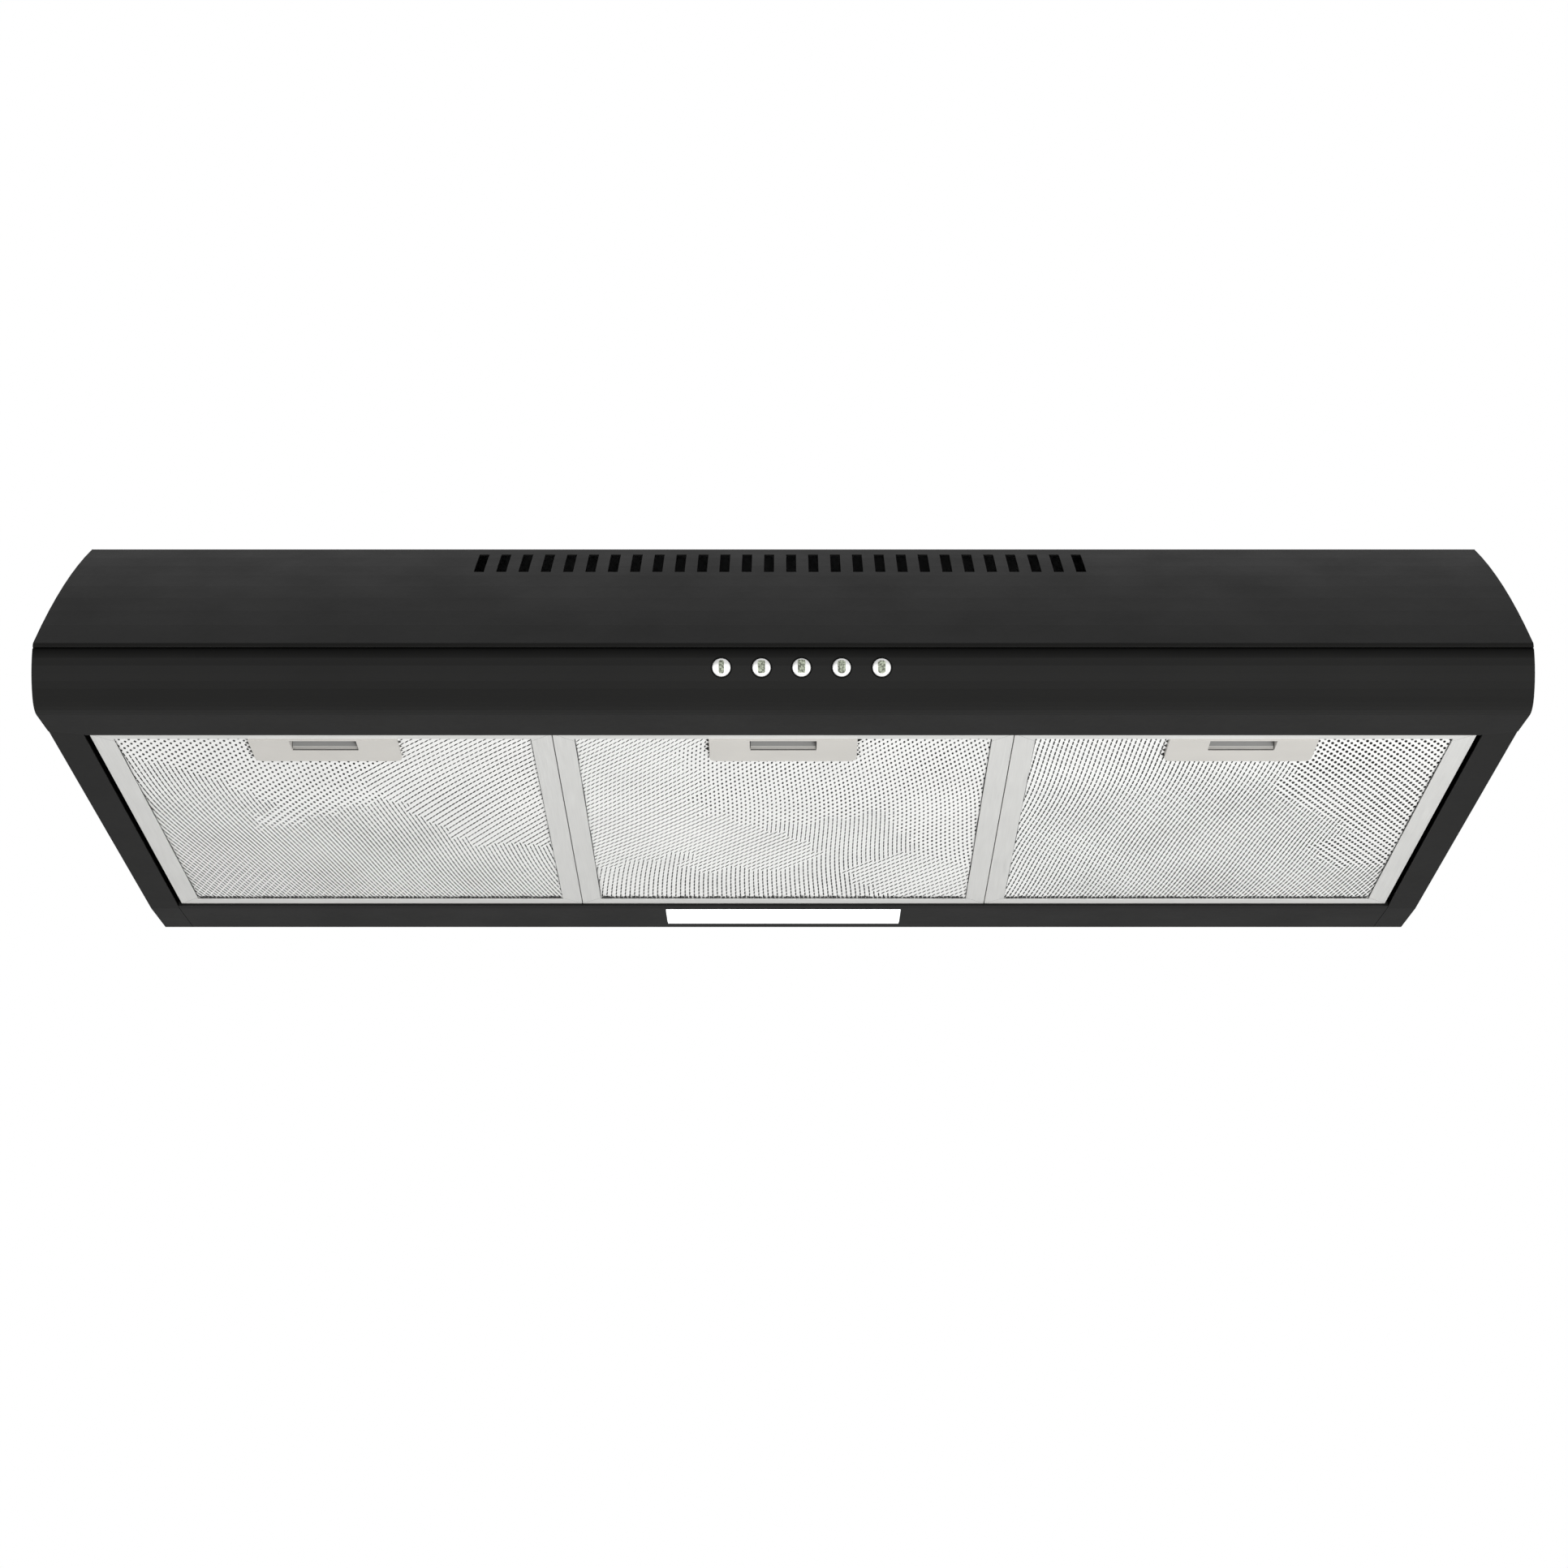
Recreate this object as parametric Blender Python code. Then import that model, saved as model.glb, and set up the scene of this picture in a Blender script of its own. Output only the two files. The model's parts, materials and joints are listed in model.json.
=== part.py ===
"""An under-cabinet range hood, 900 mm wide, as an assembly of separate pieces.

Frame: +Z up, metres. The front faces -Y and the wall side is at +Y. The origin is on the top mounting face,
midway across the width and the depth, so the casing hangs below z = 0 and only the duct collar stands
above it.
"""

import math

import bmesh
import bpy
from mathutils import Matrix, Vector

MM = 0.001

# Driving dimensions of the casing
WIDTH = 900 * MM
DEPTH = 480 * MM
SHEET = 1.0 * MM
GAP = 0.3 * MM
HALF = WIDTH / 2
FRONT_Y = -DEPTH / 2
WALL_Y = DEPTH / 2
TOP_EDGE_Y = -97 * MM  # front edge of the flat top
RAIL_Z = -157 * MM  # underside of the side rails
RAIL_WIDTH = 20 * MM
OPENING_HALF = HALF - RAIL_WIDTH

# Side profile of the front
COVER_RADIUS = 834 * MM  # the gentle bulge of the sloping front
SEAM_Z = -125.2 * MM  # seam between the sloping cover and the control panel
SEAM_FLANGE = 9 * MM
FACE_TOP = (-240.2 * MM, -127.5 * MM)  # where the control panel's face starts to curve back
FACE_END = (-230.8 * MM, -153.4 * MM)
FACE_RADIUS = 40 * MM
NOSE_CORNER = (-224.8 * MM, -160.5 * MM)  # where the face's last tangent meets the underside
NOSE_RADIUS = 17 * MM
LIP_Y = -173.3 * MM  # rear edge of the control panel's underside
LIP_HEM = 5.4 * MM
LIP_MITRE = 8.5 * MM  # how far the lip's ends fall back beside the rails

# Vent slots in the sloping cover
SLOT_COUNT = 28
SLOT_PITCH = 14.14 * MM
SLOT_WIDTH = 6.4 * MM
SLOT_LENGTH = 47 * MM
SLOT_MIDDLE = (-2 * MM, -128.6 * MM, -22.6 * MM)
SLOT_SLOPE = math.radians(36.9)

# Rear strip that carries the lamp
STRIP_FRONT_Y = 176 * MM
STRIP_BEND_Y = 182 * MM
STRIP_RISE = 4.1 * MM
LENS_SIZE = (166.8 * MM, 44.2 * MM)
LENS_Y = 207 * MM

# Push buttons
BUTTON_NAMES = ("light", "off", "low", "medium", "high")
BUTTON_PITCH = 24 * MM
BUTTON_FIRST_X = -37 * MM
BUTTON_Z = -138 * MM
BUTTON_RADIUS = 5.5 * MM

# Grease filters
FILTER_NAMES = ("left", "middle", "right")
FILTER_PITCH = 284.9 * MM
FILTER_WIDTH = 284.2 * MM
FILTER_FRONT_Y = -171.6 * MM
FILTER_REAR_Y = 174.6 * MM
FILTER_Z = -155.5 * MM  # underside of the frames, and the height of their hinge line
FILTER_HEIGHT = 9 * MM
FILTER_BORDER = (13 * MM, 9 * MM, 9 * MM)  # sides, front, rear
FILTER_WALL = 0.8 * MM

# Finger latch in each filter
LATCH_SIZE = (92 * MM, 37.6 * MM)
LATCH_CORNER = 5 * MM
LATCH_LOW_Z = -156.4 * MM
LATCH_TOP_Z = -148.2 * MM
LATCH_WALL = 1.2 * MM
WINDOW_SIZE = (41.5 * MM, 16.7 * MM)
BOLT_HALF = 8 * MM
BOLT_Z = (-151.2 * MM, -149.7 * MM)

# Blower
BLOWER_AXIS = (98 * MM, -74 * MM)
WHEEL_RADIUS = 46 * MM
WHEEL_HALF = 38 * MM
BLADE_COUNT = 30
SHELL_HALF = 46 * MM
SHELL_WALL = 2 * MM
SHELL_TOP = -3.2 * MM  # just below the duct collar's flange
OUTLET_Y = (90 * MM, 160 * MM)
INLET_RADIUS = 37 * MM
SHAFT_RADIUS = 4 * MM
MOTOR_X = (60.5 * MM, 110 * MM)

# Duct collar and its two damper flaps
DUCT_Y = 125 * MM
DUCT_RADIUS = 60 * MM
DUCT_HEIGHT = 55 * MM
DUCT_WALL = 1.5 * MM
PIN_Z = 8 * MM
PIN_RADIUS = 1.5 * MM

# Wiring
CABLE_RADIUS = 3 * MM
BOX_LOW = (250 * MM, 150 * MM, -46 * MM)
BOX_HIGH = (340 * MM, 216 * MM, -1.6 * MM)
GROMMET_AT = (320 * MM, 196 * MM)

MATERIALS = {
    "black_enamel": ((0.022, 0.022, 0.021), 0.42, 0.0),
    "galvanised": ((0.55, 0.56, 0.57), 0.45, 0.9),
    "aluminium": ((0.72, 0.72, 0.70), 0.35, 1.0),
    "filter_mesh": ((0.78, 0.78, 0.75), 0.40, 0.9),
    "latch_plastic": ((0.66, 0.65, 0.62), 0.50, 0.0),
    "chrome": ((0.85, 0.85, 0.86), 0.08, 1.0),
    "lens": ((0.93, 0.94, 0.94), 0.35, 0.0),
    "bulb_glass": ((0.95, 0.95, 0.92), 0.20, 0.0),
    "black_plastic": ((0.012, 0.012, 0.012), 0.40, 0.0),
    "grey_plastic": ((0.20, 0.20, 0.21), 0.50, 0.0),
    "white_plastic": ((0.80, 0.80, 0.78), 0.45, 0.0),
    "steel": ((0.50, 0.50, 0.51), 0.30, 1.0),
    "rubber": ((0.03, 0.03, 0.03), 0.70, 0.0),
}


# Outlines, as lists of (y, z) points


def fillet(before, corner, after, radius, steps=5):
    """The arc that rounds a corner between two straight stretches."""
    here = Vector(corner)
    back = (Vector(before) - here).normalized()
    ahead = (Vector(after) - here).normalized()
    half = back.angle(ahead) / 2
    middle = here + (back + ahead).normalized() * (radius / math.sin(half))
    start = here + back * (radius / math.tan(half)) - middle
    end = here + ahead * (radius / math.tan(half)) - middle
    turn = start.angle_signed(end)
    return [tuple(middle + Matrix.Rotation(-turn * i / steps, 2) @ start) for i in range(steps + 1)]


def rounded(corners):
    """An open outline from (y, z) or (y, z, radius) corners."""
    points = []
    for i, corner in enumerate(corners):
        if len(corner) == 2:
            points.append(corner)
        else:
            points += fillet(corners[i - 1][:2], corner[:2], corners[i + 1][:2], corner[2])
    return points


def bulge(start, end, radius, steps=8):
    """An arc from start to end that bulges to the right of that direction."""
    a, b = Vector(start), Vector(end)
    chord = b - a
    sink = math.sqrt(radius**2 - (chord.length / 2) ** 2)
    centre = (a + b) / 2 + Vector((-chord.y, chord.x)).normalized() * sink
    sweep = 2 * math.asin(chord.length / 2 / radius)
    return [tuple(centre + Matrix.Rotation(sweep * i / steps, 2) @ (a - centre)) for i in range(steps + 1)]


def shifted(path, distance):
    """The path moved to its left by a distance, with mitred corners."""
    points = [Vector(p) for p in path]
    moved = []
    for i, here in enumerate(points):
        normals = []
        for a, b in ((i - 1, i), (i, i + 1)):
            if a >= 0 and b < len(points):
                along = (points[b] - points[a]).normalized()
                normals.append(Vector((-along.y, along.x)))
        middle = sum(normals, Vector((0, 0))).normalized()
        moved.append(tuple(here + middle * (distance / middle.dot(normals[0]))))
    return moved


def sheet_outline(path, thickness=SHEET):
    """The closed outline of a bent sheet whose outer face follows the path."""
    return list(path) + shifted(path, thickness)[::-1]


def cover_path():
    """Outer face of the sloping cover, from its hidden top flange to its bottom flange."""
    top_z = -SHEET - GAP
    slope_start = (TOP_EDGE_Y - 1.9 * MM, top_z)
    slope_end = (-237 * MM, -119.8 * MM)
    foot = [(FRONT_Y, -122.9 * MM, 3 * MM), (FRONT_Y, SEAM_Z), (FRONT_Y + SEAM_FLANGE, SEAM_Z)]
    tail = rounded([slope_end] + foot)
    return [(-62 * MM, top_z)] + bulge(slope_start, slope_end, COVER_RADIUS) + tail[1:]


def nose_path():
    """Outer face of the control panel, from its top flange to the hem behind its lip."""
    top_z = SEAM_Z - 0.5 * MM
    brow = rounded([(FACE_TOP[0] + SEAM_FLANGE, top_z), (FACE_TOP[0], top_z, 1.5 * MM), FACE_TOP])
    face = bulge(FACE_TOP, FACE_END, FACE_RADIUS, 6)
    foot = rounded([FACE_END, (*NOSE_CORNER, NOSE_RADIUS), (LIP_Y, RAIL_Z), (LIP_Y, RAIL_Z + LIP_HEM)])
    return brow[:-1] + face[:-1] + foot


def strip_path():
    """Outer face of the rear strip, from its front ledge to its rear flange."""
    rear_y = WALL_Y - SHEET - GAP
    return [
        (STRIP_FRONT_Y, RAIL_Z + 3.4 * MM),
        (STRIP_FRONT_Y, RAIL_Z),
        (STRIP_BEND_Y, RAIL_Z),
        (rear_y, RAIL_Z + STRIP_RISE),
        (rear_y, -138 * MM),
    ]


def lip_line(x):
    """Where the control panel's underside ends, at a distance x from the middle."""
    corner_y = LIP_Y - SHEET - 0.4 * MM
    if x < OPENING_HALF:
        return LIP_Y
    return corner_y - (LIP_Y - LIP_MITRE - corner_y) * (OPENING_HALF - x) / RAIL_WIDTH


def side_outline():
    """Outline of a side panel's web, which stays inside the covers that wrap round it."""
    inset = SHEET + GAP
    top_z = -2 * SHEET - 2 * GAP
    slope = shifted(cover_path()[1:-2], inset)
    nose = shifted(nose_path()[2:-1], inset)
    slope = [p for p in slope if p[1] < top_z - 0.5 * MM]
    nose = [p for p in nose if p[0] < LIP_Y - LIP_MITRE - 2 * MM]
    rear_y = WALL_Y - SHEET - GAP
    front = (TOP_EDGE_Y + 0.6 * MM, top_z)
    lip = lip_line(HALF - SHEET) + GAP
    foot = [(lip, RAIL_Z + 0.8 * MM), (lip, RAIL_Z)]
    back = [(STRIP_BEND_Y, RAIL_Z), (rear_y, RAIL_Z + STRIP_RISE), (rear_y, top_z)]
    return [front] + slope + nose + foot + back


# Meshes


def prism(outline, low_x, high_x):
    """A (y, z) outline extruded along X."""
    mesh = bmesh.new()
    ends = [[mesh.verts.new((x, y, z)) for y, z in outline] for x in (low_x, high_x)]
    mesh.faces.new(ends[0])
    mesh.faces.new(ends[1])
    for i in range(len(outline)):
        mesh.faces.new((ends[0][i - 1], ends[0][i], ends[1][i], ends[1][i - 1]))
    bmesh.ops.recalc_face_normals(mesh, faces=mesh.faces)
    return mesh


def slab(outline, low_z, high_z):
    """An (x, y) outline extruded along Z."""
    mesh = bmesh.new()
    ends = [[mesh.verts.new((x, y, z)) for x, y in outline] for z in (low_z, high_z)]
    mesh.faces.new(ends[0])
    mesh.faces.new(ends[1])
    for i in range(len(outline)):
        mesh.faces.new((ends[0][i - 1], ends[0][i], ends[1][i], ends[1][i - 1]))
    bmesh.ops.recalc_face_normals(mesh, faces=mesh.faces)
    return mesh


def block(low, high):
    """An axis-aligned box between two corners."""
    mesh = bmesh.new()
    low, high = Vector(low), Vector(high)
    size = Matrix.Diagonal((*(high - low), 1))
    bmesh.ops.create_cube(mesh, size=1, matrix=Matrix.Translation((low + high) / 2) @ size)
    return mesh


def turned(profile, steps=32, closed=False):
    """A (radius, height) profile turned about Z. An open profile starts and ends on the axis."""
    mesh = bmesh.new()
    rings = []
    for radius, height in profile:
        count = 1 if radius == 0 else steps
        angles = [2 * math.pi * i / steps for i in range(count)]
        rings.append([mesh.verts.new((radius * math.cos(a), radius * math.sin(a), height)) for a in angles])
    pairs = list(zip(rings, rings[1:]))
    if closed:
        pairs.append((rings[-1], rings[0]))
    for one, other in pairs:
        for i in range(steps):
            j = (i + 1) % steps
            corners = (one[i % len(one)], one[j % len(one)], other[j % len(other)], other[i % len(other)])
            mesh.faces.new(dict.fromkeys(corners))
    bmesh.ops.recalc_face_normals(mesh, faces=mesh.faces)
    return mesh


def rod(radius, low, high, steps=24):
    """A solid cylinder along Z."""
    angles = [2 * math.pi * i / steps for i in range(steps)]
    return slab([(radius * math.cos(a), radius * math.sin(a)) for a in angles], low, high)


def together(*meshes):
    """Several meshes as one, each still a closed body."""
    whole = bmesh.new()
    for mesh in meshes:
        made = bpy.data.meshes.new("part")
        mesh.to_mesh(made)
        mesh.free()
        whole.from_mesh(made)
        bpy.data.meshes.remove(made)
    return whole


def placed(mesh, matrix):
    """The mesh, moved by a matrix."""
    mesh.transform(matrix)
    return mesh


# Objects


def material_of(name):
    """The Principled material of this name."""
    found = bpy.data.materials.get(name)
    if found:
        return found
    colour, roughness, metallic = MATERIALS[name]
    made = bpy.data.materials.new(name)
    made.use_nodes = True
    shader = made.node_tree.nodes["Principled BSDF"]
    shader.inputs["Base Color"].default_value = (*colour, 1)
    shader.inputs["Roughness"].default_value = roughness
    shader.inputs["Metallic"].default_value = metallic
    made.diffuse_color = (*colour, 1)
    return made


def add(name, mesh, material, parent=None, matrix=None):
    """A scene object made from a bmesh."""
    data = bpy.data.meshes.new(name)
    mesh.to_mesh(data)
    mesh.free()
    data.materials.append(material_of(material))
    data.shade_smooth()
    data.set_sharp_from_angle(angle=math.radians(35))
    made = bpy.data.objects.new(name, data)
    bpy.context.scene.collection.objects.link(made)
    made.parent = parent
    if matrix:
        made.matrix_basis = matrix
    return made


def change(target, operation, mesh, parent=None, matrix=None):
    """Cuts the mesh from the target, or joins it on, with a Boolean modifier."""
    tool = add(f"{target.name}.{operation.lower()}", mesh, "steel", parent, matrix)
    tool.hide_render = True
    tool.display_type = "WIRE"
    modifier = target.modifiers.new(operation.lower(), "BOOLEAN")
    modifier.operation = operation
    modifier.object = tool
    modifier.solver = "EXACT"


def cut(target, mesh, parent=None, matrix=None):
    change(target, "DIFFERENCE", mesh, parent, matrix)


def join(target, mesh, parent=None, matrix=None):
    change(target, "UNION", mesh, parent, matrix)


def pivot(name, matrix):
    """An empty that carries pieces on a shared axis."""
    made = bpy.data.objects.new(name, None)
    bpy.context.scene.collection.objects.link(made)
    made.matrix_basis = matrix
    return made


def along_x(x, y, z):
    """Places a piece that was modelled along Z so that it lies along X."""
    return Matrix.Translation((x, y, z)) @ Matrix.Rotation(math.pi / 2, 4, "Y")


# Casing


def keyhole(x, y):
    """A cutter for a screw keyhole in the top, head end to the front."""
    head = placed(rod(4.5 * MM, -3 * MM, 2 * MM, 16), Matrix.Translation((x, y, 0)))
    slot = block((x - 2.3 * MM, y, -3 * MM), (x + 2.3 * MM, y + 12 * MM, 2 * MM))
    return head, slot


def build_top():
    low = (-HALF, TOP_EDGE_Y - 0.4 * MM, -SHEET)
    top = add("top_plate", block(low, (HALF, WALL_Y, 0)), "black_enamel")
    duct_hole = rod(DUCT_RADIUS + GAP, -3 * MM, 2 * MM, 48)
    cut(top, placed(duct_hole, Matrix.Translation((0, DUCT_Y, 0))))
    cut(top, placed(rod(8.3 * MM, -3 * MM, 2 * MM), Matrix.Translation((*GROMMET_AT, 0))))
    for x in (-360 * MM, 360 * MM):
        for y in (-50 * MM, 175 * MM):
            head, slot = keyhole(x, y)
            cut(top, head)
            cut(top, slot)


def build_cover():
    cover = add("front_cover", prism(sheet_outline(cover_path()), -HALF, HALF), "black_enamel")
    slots = []
    for i in range(SLOT_COUNT):
        x = (i - (SLOT_COUNT - 1) / 2) * SLOT_PITCH
        low = (x - SLOT_WIDTH / 2, -SLOT_LENGTH / 2, -6 * MM)
        slots.append(block(low, (x + SLOT_WIDTH / 2, SLOT_LENGTH / 2, 6 * MM)))
    slope = Matrix.Translation(SLOT_MIDDLE) @ Matrix.Rotation(SLOT_SLOPE, 4, "X")
    cut(cover, placed(together(*slots), slope))
    notch_flange_ends(cover, SEAM_Z - 1 * MM, SEAM_Z + 3 * MM)


def notch_flange_ends(sheet, low_z, high_z):
    """Shortens a flange at both ends, where the side panels' webs stand."""
    for side in (-1, 1):
        xs = sorted((side * (HALF - 1.6 * MM), side * (HALF + 1 * MM)))
        low = (xs[0], FRONT_Y + 1.2 * MM, low_z)
        cut(sheet, block(low, (xs[1], FRONT_Y + 20 * MM, high_z)))


def build_control_panel():
    panel = add("control_panel", prism(sheet_outline(nose_path()), -HALF, HALF), "black_enamel")
    notch_flange_ends(panel, SEAM_Z - 1.9 * MM, SEAM_Z + 1 * MM)
    rear = LIP_Y + 2 * MM
    for side in (-1, 1):
        outline = [
            (side * (OPENING_HALF - 1 * MM), rear),
            (side * (OPENING_HALF - 1 * MM), lip_line(OPENING_HALF)),
            (side * OPENING_HALF, lip_line(OPENING_HALF)),
            (side * (HALF + 1 * MM), lip_line(HALF + 1 * MM)),
            (side * (HALF + 1 * MM), rear),
        ]
        cut(panel, slab(outline, RAIL_Z - 4 * MM, RAIL_Z + 10 * MM))
    for i in range(len(BUTTON_NAMES)):
        cut(panel, rod(6.5 * MM, -6 * MM, 6 * MM), matrix=button_place(i))


def build_sides():
    for name, side in (("side_panel_left", -1), ("side_panel_right", 1)):
        xs = sorted((side * HALF, side * (HALF - SHEET)))
        panel = add(name, prism(side_outline(), *xs), "black_enamel")
        inner = side * OPENING_HALF
        outer = side * (HALF - SHEET / 2)
        fronts = [lip_line(abs(x)) + 0.35 * MM for x in (inner, outer)]
        plan = [(inner, fronts[0]), (outer, fronts[1]), (outer, STRIP_BEND_Y), (inner, STRIP_BEND_Y)]
        join(panel, slab(plan, RAIL_Z, RAIL_Z + SHEET))
        rear_y = WALL_Y - SHEET - GAP
        path = [(STRIP_BEND_Y - 1 * MM, RAIL_Z), (STRIP_BEND_Y, RAIL_Z), (rear_y, RAIL_Z + STRIP_RISE)]
        join(panel, prism(sheet_outline(path), *sorted((inner, outer))))


def build_rear():
    low = (-HALF, WALL_Y - SHEET, RAIL_Z + STRIP_RISE)
    panel = add("rear_panel", block(low, (HALF, WALL_Y, -SHEET - GAP)), "black_enamel")
    facing = Matrix.Translation((0, WALL_Y, -72 * MM)) @ Matrix.Rotation(math.pi / 2, 4, "X")
    cut(panel, rod(58 * MM, -4 * MM, 4 * MM, 40), matrix=facing)
    for x in (-300 * MM, 300 * MM):
        head = Matrix.Translation((x, WALL_Y, -40 * MM)) @ Matrix.Rotation(math.pi / 2, 4, "X")
        cut(panel, rod(4.5 * MM, -4 * MM, 4 * MM, 16), matrix=head)
        slot_low = (x - 2.3 * MM, WALL_Y - 4 * MM, -40 * MM)
        cut(panel, block(slot_low, (x + 2.3 * MM, WALL_Y + 4 * MM, -28 * MM)))

    inside = WALL_Y - SHEET - GAP
    seat = Matrix.Translation((0, inside, -72 * MM)) @ Matrix.Rotation(math.pi / 2, 4, "X")
    cover = add("rear_outlet_cover", rod(64 * MM, 0, 1.2 * MM, 40), "black_enamel", matrix=seat)
    for name, x in (("outlet_screw_left", -61 * MM), ("outlet_screw_right", 61 * MM)):
        cut(cover, placed(rod(1.9 * MM, -2 * MM, 4 * MM, 12), Matrix.Translation((x, 0, 0))), matrix=seat)
        head = 1.2 * MM + GAP
        profile = [(0, 0.2 * MM), (1.5 * MM, 0.2 * MM), (1.5 * MM, head)]
        profile += [(3.6 * MM, head), (3.2 * MM, head + 1.6 * MM), (0, head + 2.2 * MM)]
        add(name, turned(profile, 12), "steel", matrix=seat @ Matrix.Translation((x, 0, 0)))


def build_deflector():
    path = [(-46 * MM, -2.9 * MM), (-60 * MM, -2.9 * MM), (-60 * MM, -72 * MM), (-180 * MM, -72 * MM)]
    outline = sheet_outline(path, -SHEET)
    add("vent_deflector", prism(outline[::-1], -225 * MM, 225 * MM), "galvanised")


# Lamp


def lamp_place():
    """Frame of the sloping strip at the lens: its outer face is the local z = 0 plane."""
    rise = STRIP_RISE / (WALL_Y - SHEET - GAP - STRIP_BEND_Y)
    z = RAIL_Z + (LENS_Y - STRIP_BEND_Y) * rise
    return Matrix.Translation((0, LENS_Y, z)) @ Matrix.Rotation(math.atan(rise), 4, "X")


def build_lamp():
    strip_half = OPENING_HALF - 0.4 * MM
    strip = add("lamp_panel", prism(sheet_outline(strip_path()), -strip_half, strip_half), "black_enamel")
    place = pivot("lamp_frame", lamp_place())
    half_x, half_y = LENS_SIZE[0] / 2, LENS_SIZE[1] / 2
    window = (half_x + 0.4 * MM, half_y + 0.4 * MM)
    low, high = (-window[0], -window[1], -3 * MM), (window[0], window[1], 4 * MM)
    cut(strip, block(low, high), parent=place)

    lens = add("lamp_lens", block((-half_x, -half_y, 0), (half_x, half_y, 2 * MM)), "lens", place)
    flange = (half_x + 4 * MM, half_y + 2.4 * MM)
    low, high = (-flange[0], -flange[1], 1.3 * MM), (flange[0], flange[1], 2.6 * MM)
    join(lens, block(low, high), parent=place)

    outer = (92 * MM, 26.2 * MM, 39 * MM)
    wall = 1 * MM
    low = (-outer[0], -outer[1], SHEET + GAP)
    housing = add("lamp_housing", block(low, outer), "white_plastic", place)
    inner = (outer[0] - wall, outer[1] - wall, outer[2] - wall)
    cut(housing, block((-inner[0], -inner[1], -5 * MM), inner), parent=place)

    axis = along_x(0, 0, 20 * MM)
    socket_x = (62 * MM, 90.5 * MM)
    cup = [(0, socket_x[1]), (12 * MM, socket_x[1]), (12 * MM, socket_x[0]), (7 * MM, socket_x[0])]
    cup += [(7 * MM, socket_x[0] + 18 * MM), (0, socket_x[0] + 18 * MM)]
    add("lamp_socket", turned(cup, 24), "white_plastic", place, axis)

    base = [(0, 79 * MM), (4 * MM, 79 * MM), (6.5 * MM, 76 * MM), (6.5 * MM, 60 * MM)]
    glass = [(13.5 * MM, 45 * MM), (14 * MM, 30 * MM), (14 * MM, -12 * MM)]
    dome = [(14 * MM * math.cos(a), -12 * MM - 14 * MM * math.sin(a)) for a in (0.4, 0.8, 1.2)]
    add("lamp_bulb", turned(base + glass + dome + [(0, -26 * MM)], 24), "bulb_glass", place, axis)


# Controls


def button_place(i):
    """Frame of a button: local z points out of the panel, from a point on its outer face."""
    lean = math.asin((FACE_TOP[1] - BUTTON_Z) / FACE_RADIUS)
    y = FACE_TOP[0] + FACE_RADIUS * (1 - math.cos(lean))
    x = BUTTON_FIRST_X + i * BUTTON_PITCH
    return Matrix.Translation((x, y, BUTTON_Z)) @ Matrix.Rotation(math.pi / 2 + lean, 4, "X")


def build_controls():
    block_half = (74 * MM, 8 * MM)
    middle = Matrix.Translation((BUTTON_FIRST_X + 2 * BUTTON_PITCH, 0, 0))
    place = middle @ Matrix.Translation((-button_place(0).translation.x, 0, 0)) @ button_place(0)
    low = (-block_half[0], -block_half[1], -27 * MM)
    switch = add("switch_block", block(low, (block_half[0], block_half[1], -9.5 * MM)), "grey_plastic", matrix=place)
    for i, name in enumerate(BUTTON_NAMES):
        at = button_place(i)
        cut(switch, rod(3.2 * MM, -25 * MM, -5 * MM, 16), matrix=at)
        rim = [(5.8 * MM, 0.3 * MM), (6 * MM, 0.5 * MM), (6.2 * MM, 0.3 * MM), (6.2 * MM, -2.3 * MM)]
        rim += [(8 * MM, -2.3 * MM), (8 * MM, -3.5 * MM), (5.8 * MM, -3.5 * MM)]
        add(f"button_bezel_{name}", turned(rim, 24, closed=True), "black_plastic", matrix=at)
        cap = [(0, 1.9 * MM), (3.4 * MM, 1.7 * MM), (5 * MM, 1.2 * MM), (BUTTON_RADIUS, 0.6 * MM)]
        cap += [(BUTTON_RADIUS, -5.5 * MM), (2.8 * MM, -5.5 * MM), (2.8 * MM, -20 * MM), (0, -20 * MM)]
        add(f"button_{name}", turned(cap, 24), "chrome", matrix=at)


# Blower


def scroll(growth):
    """The scroll's inner outline, moved outwards by growth. Its outlet is open at the top."""
    centre = Vector(BLOWER_AXIS)
    start, end = math.radians(98), math.radians(360)
    small, large = 52 * MM, OUTLET_Y[1] - BLOWER_AXIS[0]
    steps = 20
    spiral = []
    for i in range(steps + 1):
        angle = start + (end - start) * i / steps
        radius = small + (large - small) * i / steps + growth
        spiral.append(tuple(centre + Vector((math.cos(angle), math.sin(angle))) * radius))
    top = SHELL_TOP if growth else 5 * MM
    front = OUTLET_Y[0] - growth
    return [(front, top), (front, -24 * MM + growth)] + spiral[1:] + [(OUTLET_Y[1] + growth, top)]


def build_shells():
    axis = Matrix.Translation((0, *BLOWER_AXIS)) @ Matrix.Rotation(math.pi / 2, 4, "Y")
    for name, side in (("blower_shell_left", -1), ("blower_shell_right", 1)):
        seam, outer = side * GAP / 2, side * SHELL_HALF
        shell = add(name, prism(scroll(SHELL_WALL), *sorted((seam, outer))), "grey_plastic")
        flange = [(seam, 78 * MM), (side * 60 * MM, 78 * MM), (side * 60 * MM, 172 * MM), (seam, 172 * MM)]
        join(shell, slab(flange, SHELL_TOP - 2.5 * MM, SHELL_TOP))
        inside = sorted((-side * 2 * MM, side * (SHELL_HALF - SHELL_WALL)))
        cut(shell, prism(scroll(0), *inside))
        reach = sorted((side * 40 * MM, side * 50 * MM))
        cut(shell, rod(INLET_RADIUS, *reach, 32), matrix=axis)


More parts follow.
